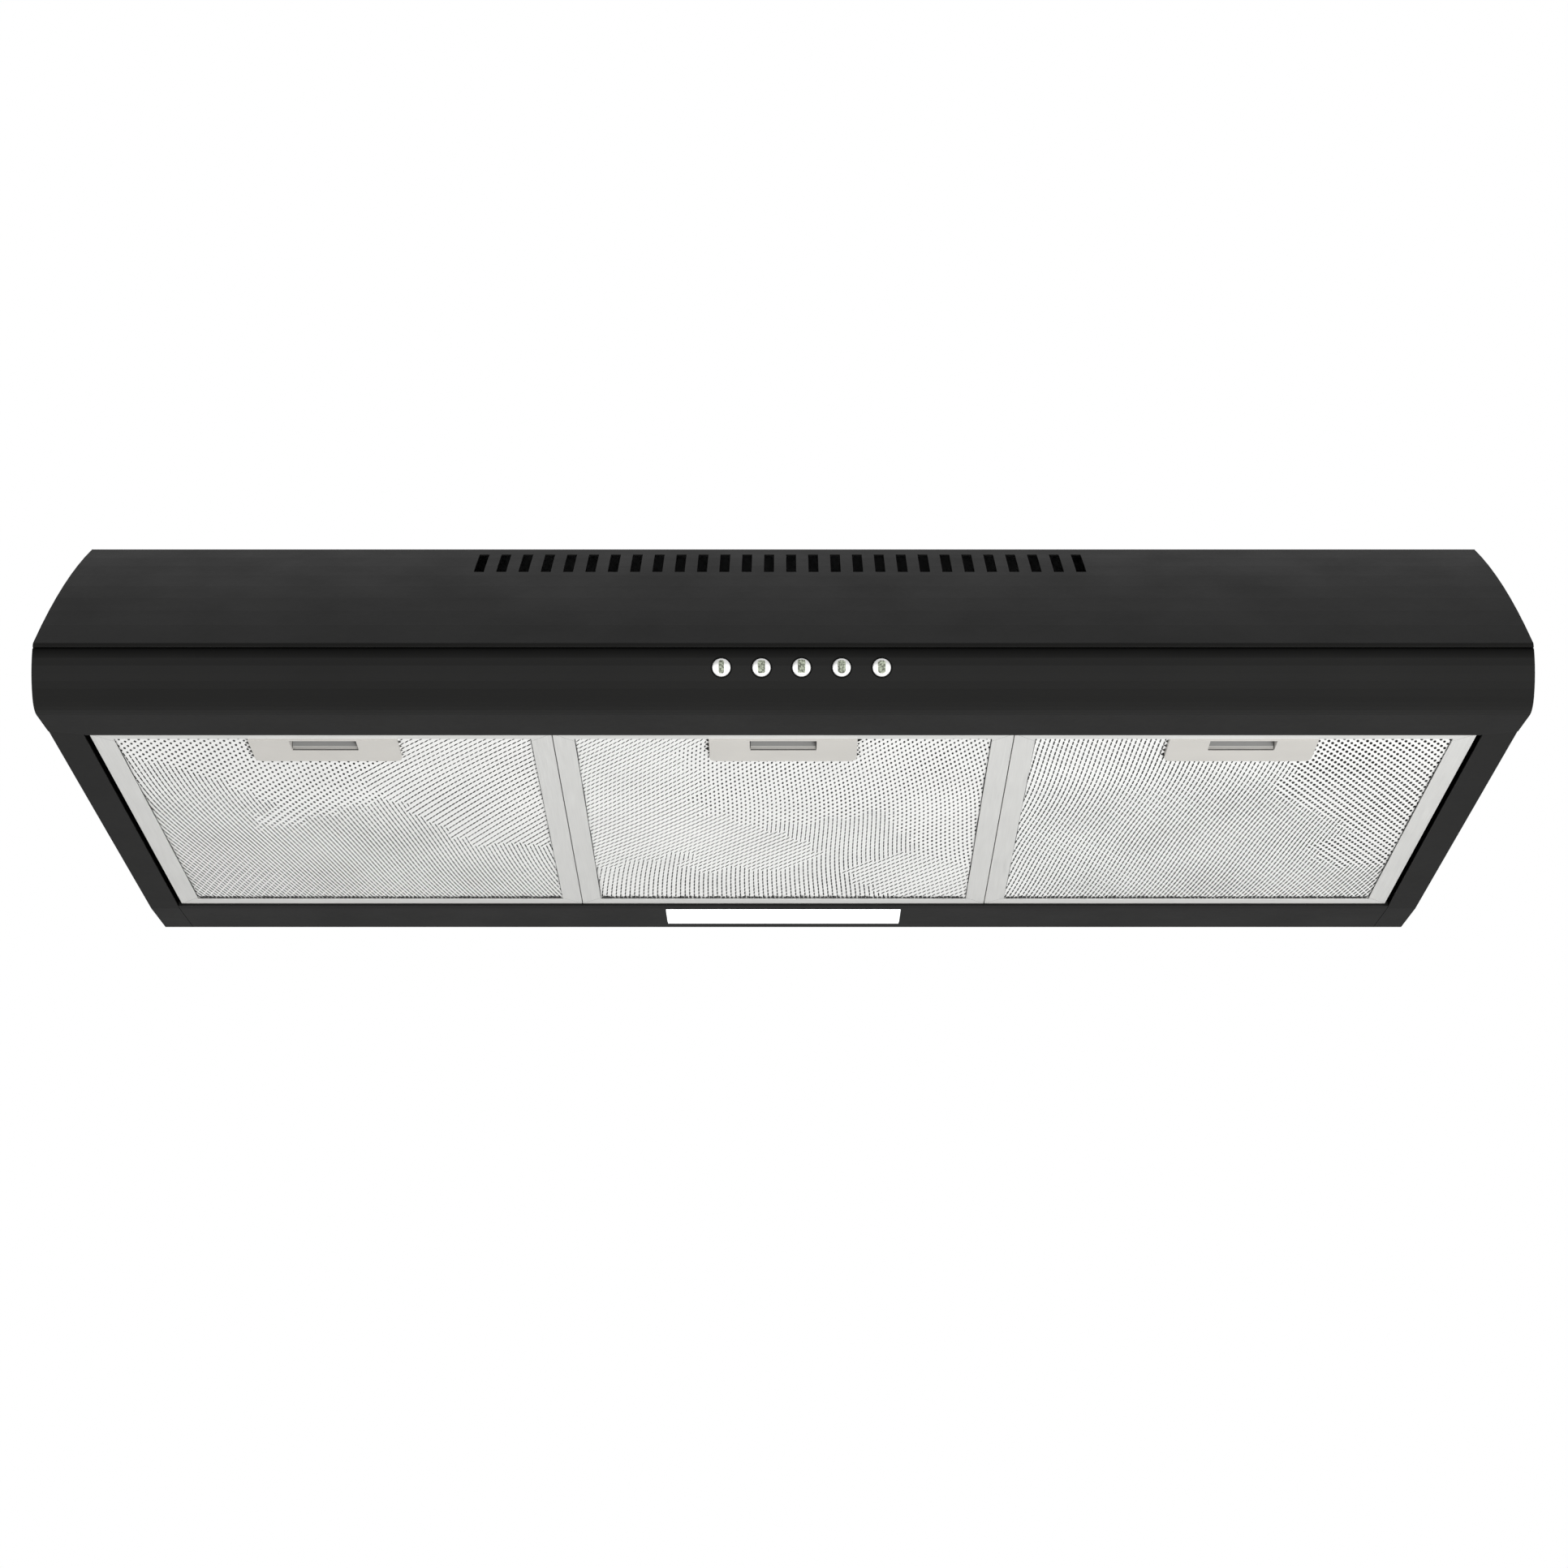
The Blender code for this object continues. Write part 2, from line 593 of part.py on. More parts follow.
def build_wheel():
    place = along_x(0, *BLOWER_AXIS)
    blades = []
    for i in range(BLADE_COUNT):
        low = (38.6 * MM, -0.6 * MM, -WHEEL_HALF + 1 * MM)
        blade = block(low, (WHEEL_RADIUS - 0.6 * MM, 0.6 * MM, WHEEL_HALF - 1 * MM))
        middle = Matrix.Translation((42 * MM, 0, 0))
        turn = Matrix.Rotation(2 * math.pi * (i + 0.5) / BLADE_COUNT, 4, "Z")
        blades.append(placed(blade, turn @ middle @ Matrix.Rotation(0.6, 4, "Z") @ middle.inverted()))
    wheel = add("impeller", together(*blades), "galvanised", matrix=place)
    disc = [(SHAFT_RADIUS + GAP, -12 * MM), (10 * MM, -12 * MM), (10 * MM, -1 * MM), (44.5 * MM, -1 * MM)]
    disc += [(44.5 * MM, 1 * MM), (10 * MM, 1 * MM), (10 * MM, 12 * MM), (SHAFT_RADIUS + GAP, 12 * MM)]
    join(wheel, turned(disc, BLADE_COUNT, closed=True), matrix=place)
    for side in (-1, 1):
        ends = (side * (WHEEL_HALF - 3 * MM), side * WHEEL_HALF)
        ring = [(37.6 * MM, ends[0]), (WHEEL_RADIUS, ends[0]), (WHEEL_RADIUS, ends[1]), (37.6 * MM, ends[1])]
        join(wheel, turned(ring, BLADE_COUNT, closed=True), matrix=place)
    add("motor_shaft", rod(SHAFT_RADIUS, -16 * MM, 115 * MM, 20), "steel", matrix=place)


def build_motor():
    place = along_x(0, *BLOWER_AXIS)
    bore = SHAFT_RADIUS + GAP
    front, rear = MOTOR_X
    body = [(bore, front - 3 * MM), (11 * MM, front - 3 * MM), (11 * MM, front), (31 * MM, front)]
    body += [(35 * MM, front + 4 * MM), (35 * MM, rear - 4 * MM), (31 * MM, rear), (12 * MM, rear)]
    body += [(12 * MM, rear + 3 * MM), (bore, rear + 3 * MM)]
    add("motor", turned(body, 32, closed=True), "galvanised", matrix=place)

    plate = (front - 2 * MM, front - GAP)
    disc = [(13 * MM, plate[0]), (30 * MM, plate[0]), (30 * MM, plate[1]), (13 * MM, plate[1])]
    bracket = add("motor_bracket", turned(disc, 24, closed=True), "galvanised", matrix=place)
    thick = plate[1] - plate[0]
    foot_x = SHELL_HALF + GAP + thick
    leg = sheet_outline([(24 * MM, plate[1]), (47 * MM, plate[1]), (47 * MM, foot_x), (52 * MM, foot_x)], -thick)
    for i in range(3):
        strip = placed(prism(leg, -6 * MM, 6 * MM), Matrix.Rotation(math.pi / 2, 4, "Z"))
        turn = Matrix.Rotation(math.radians(60 + 120 * i), 4, "Z")
        join(bracket, strip, matrix=place @ turn)

    rings = [
        turned([(r - 1 * MM, 0), (r + 1 * MM, 0), (r + 1 * MM, 2 * MM), (r - 1 * MM, 2 * MM)], 24, closed=True)
        for r in (14 * MM, 27 * MM, 39.5 * MM)
    ]
    at = along_x(-SHELL_HALF - GAP - 2 * MM, *BLOWER_AXIS)
    guard = add("inlet_guard", together(*rings), "steel", matrix=at)
    reach = 42 * MM
    join(guard, block((-reach, -1 * MM, 0.2 * MM), (reach, 1 * MM, 1.8 * MM)), matrix=at)
    join(guard, block((-1 * MM, -reach, 0.4 * MM), (1 * MM, reach, 1.6 * MM)), matrix=at)


# Duct collar


def build_duct():
    place = Matrix.Translation((0, DUCT_Y, 0))
    outer, inner = DUCT_RADIUS, DUCT_RADIUS - DUCT_WALL
    bead = [(outer, 46 * MM), (outer + 1 * MM, 47.5 * MM), (outer, 49 * MM)]
    ledge = [(inner, 6 * MM), (inner - 1.7 * MM, 6 * MM), (inner - 1.7 * MM, 4.6 * MM), (inner, 4.6 * MM)]
    flange = (-SHEET - GAP - 1.5 * MM, -SHEET - GAP)
    profile = [(inner, flange[0]), (outer + 14 * MM, flange[0]), (outer + 14 * MM, flange[1])]
    profile += [(outer, flange[1])] + bead + [(outer, DUCT_HEIGHT), (inner, DUCT_HEIGHT)] + ledge
    collar = add("duct_collar", turned(profile, 48, closed=True), "galvanised", matrix=place)
    pin_at = along_x(0, DUCT_Y, PIN_Z)
    cut(collar, rod(PIN_RADIUS + GAP, -62 * MM, 62 * MM, 16), matrix=pin_at)
    add("damper_pin", rod(PIN_RADIUS, -59.7 * MM, 59.7 * MM, 16), "steel", matrix=pin_at)
    knuckles = {"damper_flap_front": (-44 * MM, 20 * MM), "damper_flap_rear": (-20 * MM, 44 * MM)}
    for name, side in (("damper_flap_front", -1), ("damper_flap_rear", 1)):
        build_flap(name, side, knuckles[name])


def build_flap(name, side, knuckles):
    """One half-round flap, with two knuckles on the pin."""
    place = Matrix.Translation((0, DUCT_Y, PIN_Z))
    radius, near = 57.8 * MM, 3.3 * MM
    first = math.asin(near / radius)
    steps = 20
    angles = [first + (math.pi - 2 * first) * i / steps for i in range(steps + 1)]
    outline = [(radius * math.cos(a), side * radius * math.sin(a)) for a in angles]
    low_z, high_z = -1.7 * MM, -0.5 * MM
    flap = add(name, slab(outline, low_z, high_z), "grey_plastic", matrix=place)
    for x in knuckles:
        ends = (x - 6 * MM, x + 6 * MM)
        ys = sorted((0, side * (near + 0.6 * MM)))
        join(flap, block((ends[0] + 0.2 * MM, ys[0], low_z), (ends[1] - 0.2 * MM, ys[1], high_z)), matrix=place)
        join(flap, rod(2.7 * MM, *ends, 20), matrix=along_x(0, DUCT_Y, PIN_Z))
    cut(flap, rod(PIN_RADIUS + 0.2 * MM, -60 * MM, 60 * MM, 20), matrix=along_x(0, DUCT_Y, PIN_Z))


# Wiring


def smooth_route(points, spacing):
    """Points at an even spacing along a smooth curve through the given points."""
    knots = [Vector(p) for p in points]
    knots = [2 * knots[0] - knots[1]] + knots + [2 * knots[-1] - knots[-2]]
    fine = []
    for a, b, c, d in zip(knots, knots[1:], knots[2:], knots[3:]):
        for i in range(24):
            t = i / 24
            pull = (c - a) * t + (2 * a - 5 * b + 4 * c - d) * t**2 + (3 * b - a - 3 * c + d) * t**3
            fine.append(b + pull / 2)
    fine.append(knots[-2])
    length = sum((b - a).length for a, b in zip(fine, fine[1:]))
    count = max(2, round(length / spacing))
    route, walked, wanted = [fine[0]], 0.0, length / count
    for a, b in zip(fine, fine[1:]):
        step = (b - a).length
        while walked + step >= wanted and len(route) < count:
            route.append(a + (b - a) * ((wanted - walked) / step))
            wanted += length / count
        walked += step
    return route + [fine[-1]]


def cable(name, points):
    """A round cable along a smooth route."""
    route = smooth_route(points, 5 * CABLE_RADIUS)
    curve = bpy.data.curves.new(name, "CURVE")
    curve.dimensions = "3D"
    curve.bevel_depth = CABLE_RADIUS
    curve.bevel_resolution = 2
    curve.use_fill_caps = True
    spline = curve.splines.new("POLY")
    spline.points.add(len(route) - 1)
    for point, at in zip(spline.points, route):
        point.co = (*at, 1)
    curve.materials.append(material_of("rubber"))
    made = bpy.data.objects.new(name, curve)
    bpy.context.scene.collection.objects.link(made)


def build_wiring():
    wall = 2 * MM
    box = add("junction_box", block(BOX_LOW, BOX_HIGH), "grey_plastic")
    low = (BOX_LOW[0] + wall, BOX_LOW[1] + wall, BOX_LOW[2] - 5 * MM)
    cut(box, block(low, (BOX_HIGH[0] - wall, BOX_HIGH[1] - wall, BOX_HIGH[2] - wall)))
    cut(box, placed(rod(8.3 * MM, -9 * MM, 2 * MM), Matrix.Translation((*GROMMET_AT, 0))))
    lid_top = BOX_LOW[2] - GAP
    lid = add("junction_box_cover", block((*BOX_LOW[:2], lid_top - 2 * MM), (*BOX_HIGH[:2], lid_top)), "grey_plastic")
    low = (BOX_LOW[0] + wall + GAP, BOX_LOW[1] + wall + GAP, lid_top - 1 * MM)
    join(lid, block(low, (BOX_HIGH[0] - wall - GAP, BOX_HIGH[1] - wall - GAP, lid_top + 3 * MM)))

    under = BOX_HIGH[2] - wall - GAP
    seal = [(4.5 * MM, 0), (8 * MM, 0), (8 * MM, under), (11 * MM, under), (11 * MM, under - 2 * MM)]
    seal += [(4.5 * MM, under - 3 * MM)]
    at = Matrix.Translation((*GROMMET_AT, 0))
    add("cable_grommet", turned(seal, 24, closed=True), "rubber", matrix=at)

    can = [(0, 0), (13 * MM, 0), (14 * MM, 1 * MM), (14 * MM, 49 * MM), (13 * MM, 50 * MM), (0, 50 * MM)]
    at = Matrix.Translation((200 * MM, 205 * MM, -18 * MM)) @ Matrix.Rotation(math.pi / 2, 4, "X")
    add("capacitor", turned(can, 24), "white_plastic", matrix=at)

    def at_mm(*points):
        return [tuple(v * MM for v in p) for p in points]

    motor_route = at_mm((106, 98, -38.7), (112, 100, -28), (135, 112, -14), (190, 135, -8), (225, 158, -14))
    cable("motor_cable", motor_route + at_mm((238, 165, -22), (249, 166, -24)))
    lamp_route = at_mm((92.8, 208, -133), (108, 210, -133), (150, 218, -128), (205, 226, -100))
    cable("lamp_cable", lamp_route + at_mm((226, 220, -60), (235, 206, -38), (248.6, 204, -33)))
    switch_route = at_mm((85.3, -219, -133), (105, -217, -134), (170, -206, -132), (235, -185, -112))
    switch_route += at_mm((272, -140, -70), (290, -90, -26), (296, -20, -9), (297, 70, -9), (296, 130, -17))
    cable("switch_cable", switch_route + at_mm((296, 149, -20)))


# Filters


def channel_ring(half_x, low_y, high_y, border, wall, low_z, high_z):
    """A rectangular frame of inward-facing channel, mitred at its corners."""
    thin = (wall, wall, wall)
    none = (0, 0, 0)
    section = [(none, low_z), (border, low_z), (border, low_z + wall), (thin, low_z + wall)]
    section += [(thin, high_z - wall), (border, high_z - wall), (border, high_z), (none, high_z)]
    mesh = bmesh.new()
    loops = []
    for (side, front, rear), z in section:
        x = half_x - side
        corners = [(-x, low_y + front), (x, low_y + front), (x, high_y - rear), (-x, high_y - rear)]
        loops.append([mesh.verts.new((*corner, z)) for corner in corners])
    for one, other in zip(loops, loops[1:] + loops[:1]):
        for i in range(4):
            mesh.faces.new((one[i - 1], one[i], other[i], other[i - 1]))
    bmesh.ops.recalc_face_normals(mesh, faces=mesh.faces)
    return mesh


def spring(radius, wire, length, turns):
    """A coil along Y from y = 0, as a swept square wire."""
    mesh = bmesh.new()
    per_turn, rings = 10, []
    count = turns * per_turn
    for i in range(count + 1):
        angle = 2 * math.pi * i / per_turn
        out = Vector((math.cos(angle), 0, math.sin(angle)))
        y = wire + (length - 2 * wire) * i / count
        corners = [(-wire, -wire), (wire, -wire), (wire, wire), (-wire, wire)]
        rings.append([mesh.verts.new(out * (radius + a) + Vector((0, y + b, 0))) for a, b in corners])
    for one, other in zip(rings, rings[1:]):
        for i in range(4):
            mesh.faces.new((one[i - 1], one[i], other[i], other[i - 1]))
    mesh.faces.new(rings[0])
    mesh.faces.new(rings[-1])
    bmesh.ops.recalc_face_normals(mesh, faces=mesh.faces)
    return mesh


def build_filter(name, x):
    """One filter and its latch, carried by an empty on the filter's hinge line at its rear lower edge."""
    hinge = pivot(f"filter_{name}_hinge", Matrix.Translation((x, FILTER_REAR_Y, FILTER_Z)))
    home = Matrix.Translation((0, -FILTER_REAR_Y, -FILTER_Z))
    half = FILTER_WIDTH / 2
    top = FILTER_Z + FILTER_HEIGHT

    ring = channel_ring(half, FILTER_FRONT_Y, FILTER_REAR_Y, FILTER_BORDER, FILTER_WALL, FILTER_Z, top)
    frame = add(f"filter_{name}_frame", ring, "aluminium", hinge, home)
    for tab_x in (-102 * MM, 102 * MM):
        low = (tab_x - 8 * MM, FILTER_REAR_Y - FILTER_WALL / 2, FILTER_Z + 2.3 * MM)
        high = (tab_x + 8 * MM, FILTER_REAR_Y + 6.9 * MM, FILTER_Z + 3.7 * MM)
        join(frame, block(low, high), hinge, home)
    bolt_way = (BOLT_HALF + GAP, BOLT_Z[0] - GAP, BOLT_Z[1] + GAP)
    low = (-bolt_way[0], FILTER_FRONT_Y - 2 * MM, bolt_way[1])
    cut(frame, block(low, (bolt_way[0], FILTER_FRONT_Y + 2 * MM, bolt_way[2])), hinge, home)

    inset = FILTER_WALL + 0.4 * MM
    floor = FILTER_Z + FILTER_WALL + GAP
    roof = top - FILTER_WALL - GAP
    low = (-half + inset, FILTER_FRONT_Y + inset, floor)
    pad = add(f"filter_{name}_mesh", block(low, (half - inset, FILTER_REAR_Y - inset, roof)), "filter_mesh", hinge, home)
    latch_half = LATCH_SIZE[0] / 2
    latch_front = FILTER_FRONT_Y + FILTER_BORDER[1] + GAP
    latch_rear = latch_front + LATCH_SIZE[1]
    hole = (latch_half + GAP, latch_rear + GAP)
    low = (-hole[0], latch_front - GAP, floor - 3 * MM)
    cut(pad, block(low, (hole[0], hole[1], roof + 3 * MM)), hinge, home)
    low = (-BOLT_HALF - 0.6 * MM, FILTER_FRONT_Y - 1 * MM, floor - 2 * MM)
    cut(pad, block(low, (BOLT_HALF + 0.6 * MM, latch_front + 1 * MM, roof + 2 * MM)), hinge, home)

    rear_corners = [(-latch_half, latch_rear, LATCH_CORNER), (latch_half, latch_rear, LATCH_CORNER)]
    plan = rounded([(-latch_half, latch_front), *rear_corners, (latch_half, latch_front)])
    plate_name = f"filter_{name}_latch_plate"
    plate = add(plate_name, slab(plan, LATCH_LOW_Z, LATCH_TOP_Z), "latch_plastic", hinge, home)
    window_half = WINDOW_SIZE[0] / 2
    window_front = latch_front + LATCH_WALL
    window_rear = window_front + WINDOW_SIZE[1]
    low = (-window_half, window_front, LATCH_LOW_Z + LATCH_WALL)
    cut(plate, block(low, (window_half, latch_rear - 1.8 * MM, LATCH_TOP_Z - LATCH_WALL)), hinge, home)
    low = (-window_half, window_front, LATCH_LOW_Z - 2 * MM)
    cut(plate, block(low, (window_half, window_rear, LATCH_LOW_Z + 3 * MM)), hinge, home)
    low = (-bolt_way[0], latch_front - 2 * MM, bolt_way[1])
    cut(plate, block(low, (bolt_way[0], window_front + 2 * MM, bolt_way[2])), hinge, home)

    tail = window_rear + 1 * MM
    slider_half = window_half - 0.4 * MM
    low = (-slider_half, window_front + GAP, BOLT_Z[0])
    slider = add(f"filter_{name}_latch", block(low, (slider_half, tail, BOLT_Z[1])), "latch_plastic", hinge, home)
    tip = LIP_Y + 0.4 * MM
    low = (-BOLT_HALF, tip, BOLT_Z[0])
    join(slider, block(low, (BOLT_HALF, window_front + 2 * MM, BOLT_Z[1])), hinge, home)
    low = (-slider_half, tail - 2.9 * MM, LATCH_LOW_Z + LATCH_WALL + GAP)
    join(slider, block(low, (slider_half, tail, BOLT_Z[1])), hinge, home)

    coil_z = (LATCH_LOW_Z + LATCH_TOP_Z) / 2
    length = latch_rear - 1.8 * MM - tail - 2 * GAP
    at = home @ Matrix.Translation((0, tail + GAP, coil_z))
    add(f"filter_{name}_latch_spring", spring(1.7 * MM, 0.3 * MM, length, 5), "steel", hinge, at)


def build():
    for old in list(bpy.data.objects):
        bpy.data.objects.remove(old)
    build_top()
    build_cover()
    build_control_panel()
    build_sides()
    build_rear()
    build_deflector()
    build_lamp()
    build_controls()
    build_shells()
    build_wheel()
    build_motor()
    build_duct()
    build_wiring()
    for i, name in enumerate(FILTER_NAMES):
        build_filter(name, (i - 1) * FILTER_PITCH)


build()
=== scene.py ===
"""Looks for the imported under-cabinet range hood: surfaces, filter mesh, small fittings and studio.

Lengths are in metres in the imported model's frame: +Z up, the front at -Y, the top mounting face at z = 0.
"""

import json
import math

import bmesh
import bpy
from mathutils import Matrix, Vector


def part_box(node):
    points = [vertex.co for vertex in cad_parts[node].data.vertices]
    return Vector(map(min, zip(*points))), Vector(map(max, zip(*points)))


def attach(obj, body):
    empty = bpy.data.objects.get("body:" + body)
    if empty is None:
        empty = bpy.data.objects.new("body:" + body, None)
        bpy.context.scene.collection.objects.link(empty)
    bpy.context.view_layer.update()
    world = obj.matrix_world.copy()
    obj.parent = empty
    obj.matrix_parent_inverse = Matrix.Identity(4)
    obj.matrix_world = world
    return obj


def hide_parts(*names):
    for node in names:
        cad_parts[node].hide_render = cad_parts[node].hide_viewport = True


MM = 0.001
FILTERS = ("left", "middle", "right")
BUTTONS = ("light", "off", "low", "medium", "high")
SIDE_BORDER = 13 * MM  # width of a filter's side bars
REAR_BORDER = 9 * MM  # width of its rear bar
HINGE_TAB = 6.9 * MM  # how far its hinge tabs stick out behind the rear bar

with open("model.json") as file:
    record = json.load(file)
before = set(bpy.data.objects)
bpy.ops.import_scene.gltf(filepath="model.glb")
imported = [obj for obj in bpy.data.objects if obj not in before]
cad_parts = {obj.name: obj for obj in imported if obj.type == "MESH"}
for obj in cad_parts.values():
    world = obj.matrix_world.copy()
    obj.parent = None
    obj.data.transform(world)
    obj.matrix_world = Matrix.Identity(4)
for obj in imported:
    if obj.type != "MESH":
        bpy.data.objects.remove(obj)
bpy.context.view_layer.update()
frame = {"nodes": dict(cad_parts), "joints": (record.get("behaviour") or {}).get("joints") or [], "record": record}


# Materials


class Surface:
    """A Principled material, with short steps that wire textures into it."""

    def __init__(self, name, colour, roughness, metallic=0.0, specular=0.5):
        self.material = bpy.data.materials.new(name)
        self.material.use_nodes = True
        self.tree = self.material.node_tree
        self.shader = self.tree.nodes["Principled BSDF"]
        self.shader.inputs["Base Color"].default_value = (*colour, 1)
        self.shader.inputs["Roughness"].default_value = roughness
        self.shader.inputs["Metallic"].default_value = metallic
        self.shader.inputs["Specular IOR Level"].default_value = specular
        self.material.diffuse_color = (*colour, 1)
        self.colour = colour
        self.place = self.node("TexCoord").outputs["Object"]

    def node(self, kind, settings=None, inputs=None):
        made = self.tree.nodes.new("ShaderNode" + kind)
        for key, value in (settings or {}).items():
            setattr(made, key, value)
        for key, value in (inputs or {}).items():
            if isinstance(value, bpy.types.NodeSocket):
                self.tree.links.new(value, made.inputs[key])
            else:
                made.inputs[key].default_value = value
        return made

    def link(self, socket, name):
        self.tree.links.new(socket, self.shader.inputs[name])

    def noise(self, size, detail=2.0, stretch=(1, 1, 1)):
        """Noise whose features are about size across, drawn out by stretch along each axis."""
        scale = tuple(1 / (size * s) for s in stretch)
        spot = self.node("Mapping", inputs={"Vector": self.place, "Scale": scale}).outputs[0]
        inputs = {"Vector": spot, "Scale": 1.0, "Detail": detail}
        return self.node("TexNoise", inputs=inputs).outputs[0]

    def cells(self, size, stretch):
        """Distance to the nearest of scattered points about size apart, drawn out by stretch."""
        scale = tuple(1 / (size * s) for s in stretch)
        spot = self.node("Mapping", inputs={"Vector": self.place, "Scale": scale}).outputs[0]
        return self.node("TexVoronoi", inputs={"Vector": spot, "Scale": 1.0}).outputs["Distance"]

    def axis(self, letter):
        return self.node("SeparateXYZ", inputs={0: self.place}).outputs[letter]

    def calc(self, operation, *values):
        return self.node("Math", {"operation": operation}, dict(enumerate(values))).outputs[0]

    def remap(self, value, source, target):
        names = ("From Min", "From Max", "To Min", "To Max")
        inputs = dict(zip(names, (*source, *target)))
        inputs["Value"] = value
        return self.node("MapRange", inputs=inputs).outputs[0]

    def blend(self, factor, one, other):
        """A colour or a socket, mixed with another by factor."""
        made = self.node("Mix", {"data_type": "RGBA"}, {0: factor})
        for index, colour in ((6, one), (7, other)):
            if isinstance(colour, bpy.types.NodeSocket):
                self.tree.links.new(colour, made.inputs[index])
            else:
                made.inputs[index].default_value = (*colour, 1)
        return made.outputs[2]

    def shades(self, factor, dark, light):
        """The base colour, between two multiples of itself."""
        low = tuple(c * dark for c in self.colour)
        high = tuple(min(1.0, c * light) for c in self.colour)
        mixed = self.blend(factor, low, high)
        self.link(mixed, "Base Color")
        return mixed

    def rough(self, value, low, high, source=(0.3, 0.7)):
        self.link(self.remap(value, source, (low, high)), "Roughness")

    def bump(self, height, depth, strength=1.0):
        inputs = {"Height": height, "Distance": depth, "Strength": strength}
        self.link(self.node("Bump", inputs=inputs).outputs[0], "Normal")


def worn_edges(surface, base, bare):
    """The base colour, turning to a worn one on the sharp edges."""
    bevel = surface.node("Bevel", inputs={"Radius": 0.6 * MM}).outputs[0]
    flat = surface.node("NewGeometry").outputs["Normal"]
    facing = surface.node("VectorMath", {"operation": "DOT_PRODUCT"}, {0: bevel, 1: flat}).outputs["Value"]
    edge = surface.remap(facing, (0.985, 0.90), (0.0, 1.0))
    patchy = surface.calc("MULTIPLY", edge, surface.noise(0.018, 3))
    return surface.blend(patchy, base, bare)


def enamel(name, joint=None):
    """Satin black stoved enamel: faint orange peel, slightly uneven gloss, and painted shade just below a joint.
    """
    made = Surface(name, (0.0095, 0.0095, 0.0091), 0.36, specular=0.15)
    base = made.shades(made.noise(0.16, 3), 0.86, 1.14)
    base = worn_edges(made, base, (0.03, 0.03, 0.029))
    if joint:
        # Painted shade: base colour and specular fall off in a band just below the joint, standing for the shade
        # under the cover's edge
        painted_shade_height = made.calc("ADD", made.axis("Z"), made.calc("MULTIPLY", made.noise(0.03, 3), 0.001))
        clear = made.remap(painted_shade_height, (joint - 0.0055, joint - 0.0005), (1.0, 0.25))
        base = made.blend(clear, (0.002, 0.002, 0.002), base)
        made.link(made.calc("MULTIPLY", clear, 0.15), "Specular IOR Level")
    made.link(base, "Base Color")
    smudges = made.calc("ADD", made.noise(0.05, 4), made.calc("MULTIPLY", made.noise(0.004, 2), 0.25))
    made.rough(smudges, 0.33, 0.41, (0.45, 0.85))
    peel = made.calc("ADD", made.noise(0.0032, 1.5), made.calc("MULTIPLY", made.noise(0.0009, 1), 0.3))
    made.bump(peel, 0.00004, 0.4)
    return made.material


def zinc():
    """Galvanised sheet: overlapping spangles of slightly different grey."""
    made = Surface("galvanised", (0.50, 0.51, 0.52), 0.42, metallic=0.9)
    spangle = made.cells(0.009, (1, 1.4, 1))
    made.shades(made.calc("ADD", spangle, made.calc("MULTIPLY", made.noise(0.03, 3), 0.4)), 0.72, 1.15)
    made.rough(spangle, 0.34, 0.52, (0.1, 0.7))
    made.bump(made.noise(0.002, 2), 0.00003, 0.4)
    return made.material


MITRE_WIDTH = 0.12 * MM  # of the hairline where two bars meet, on each side of it along x or y
RIB_PITCH = 1.6 * MM  # of the lamp's lens
LAMP_REACH = 75 * MM  # from the middle of the lens to where its glow is weakest


def filter_local(surface):
    """Sockets for a point's distance from the nearest side edge and end edge of the filter it is on."""
    low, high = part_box("filter_middle_frame")
    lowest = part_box("filter_left_frame")[0].x
    pitch = low.x - lowest
    half = (high.x - low.x) / 2
    front, rear = low.y, high.y - HINGE_TAB
    x = surface.calc("WRAP", surface.axis("X"), pitch / 2, -pitch / 2)
    side = surface.calc("SUBTRACT", half, surface.calc("ABSOLUTE", x))
    away = surface.calc("ABSOLUTE", surface.calc("SUBTRACT", surface.axis("Y"), (front + rear) / 2))
    return side, surface.calc("SUBTRACT", (rear - front) / 2, away)


def brushed():
    """Satin extruded aluminium, brushed along each bar, with hairline mitres at the corners."""
    made = Surface("filter_border", (0.84, 0.84, 0.82), 0.38, metallic=0.35)
    side, end = filter_local(made)
    on_side = made.calc("LESS_THAN", side, end)
    along_y = made.noise(0.0006, 2, (1, 60, 1))
    along_x = made.noise(0.0006, 2, (60, 1, 1))
    grain = made.node("Mix", {"data_type": "FLOAT"}, {0: on_side, 2: along_x, 3: along_y}).outputs[0]
    clouds = made.calc("MULTIPLY", made.noise(0.05, 3), 0.3)
    tone = made.calc("ADD", made.calc("MULTIPLY", grain, 0.7), clouds)
    base = made.shades(tone, 0.86, 1.06)
    seam = made.calc("LESS_THAN", made.calc("ABSOLUTE", made.calc("SUBTRACT", side, end)), MITRE_WIDTH)
    made.link(made.blend(seam, base, (0.16, 0.16, 0.15)), "Base Color")
    made.rough(grain, 0.30, 0.46)
    made.bump(grain, 0.00003, 0.35)
    return made.material


def mesh_metal(name, colour, roughness):
    """Foil strands with faint rolling marks."""
    made = Surface(name, colour, roughness, metallic=0.2)
    patches = made.noise(0.045, 3)
    made.shades(made.calc("ADD", patches, made.calc("MULTIPLY", made.noise(0.0012, 2), 0.25)), 0.97, 1.02)
    made.rough(patches, roughness - 0.06, roughness + 0.08)
    made.bump(made.noise(0.0011, 2), 0.00004, 0.4)
    return made.material


def moulded(name, colour, roughness, grain=0.0012, specular=0.5):
    """Moulded plastic with a fine spark-eroded grain."""
    made = Surface(name, colour, roughness, specular=specular)
    made.shades(made.noise(0.03, 4), 0.93, 1.05)
    spark = made.noise(grain, 2)
    made.rough(made.noise(0.012, 3), roughness - 0.05, roughness + 0.07)
    made.bump(spark, 0.00004, 0.5)
    return made.material


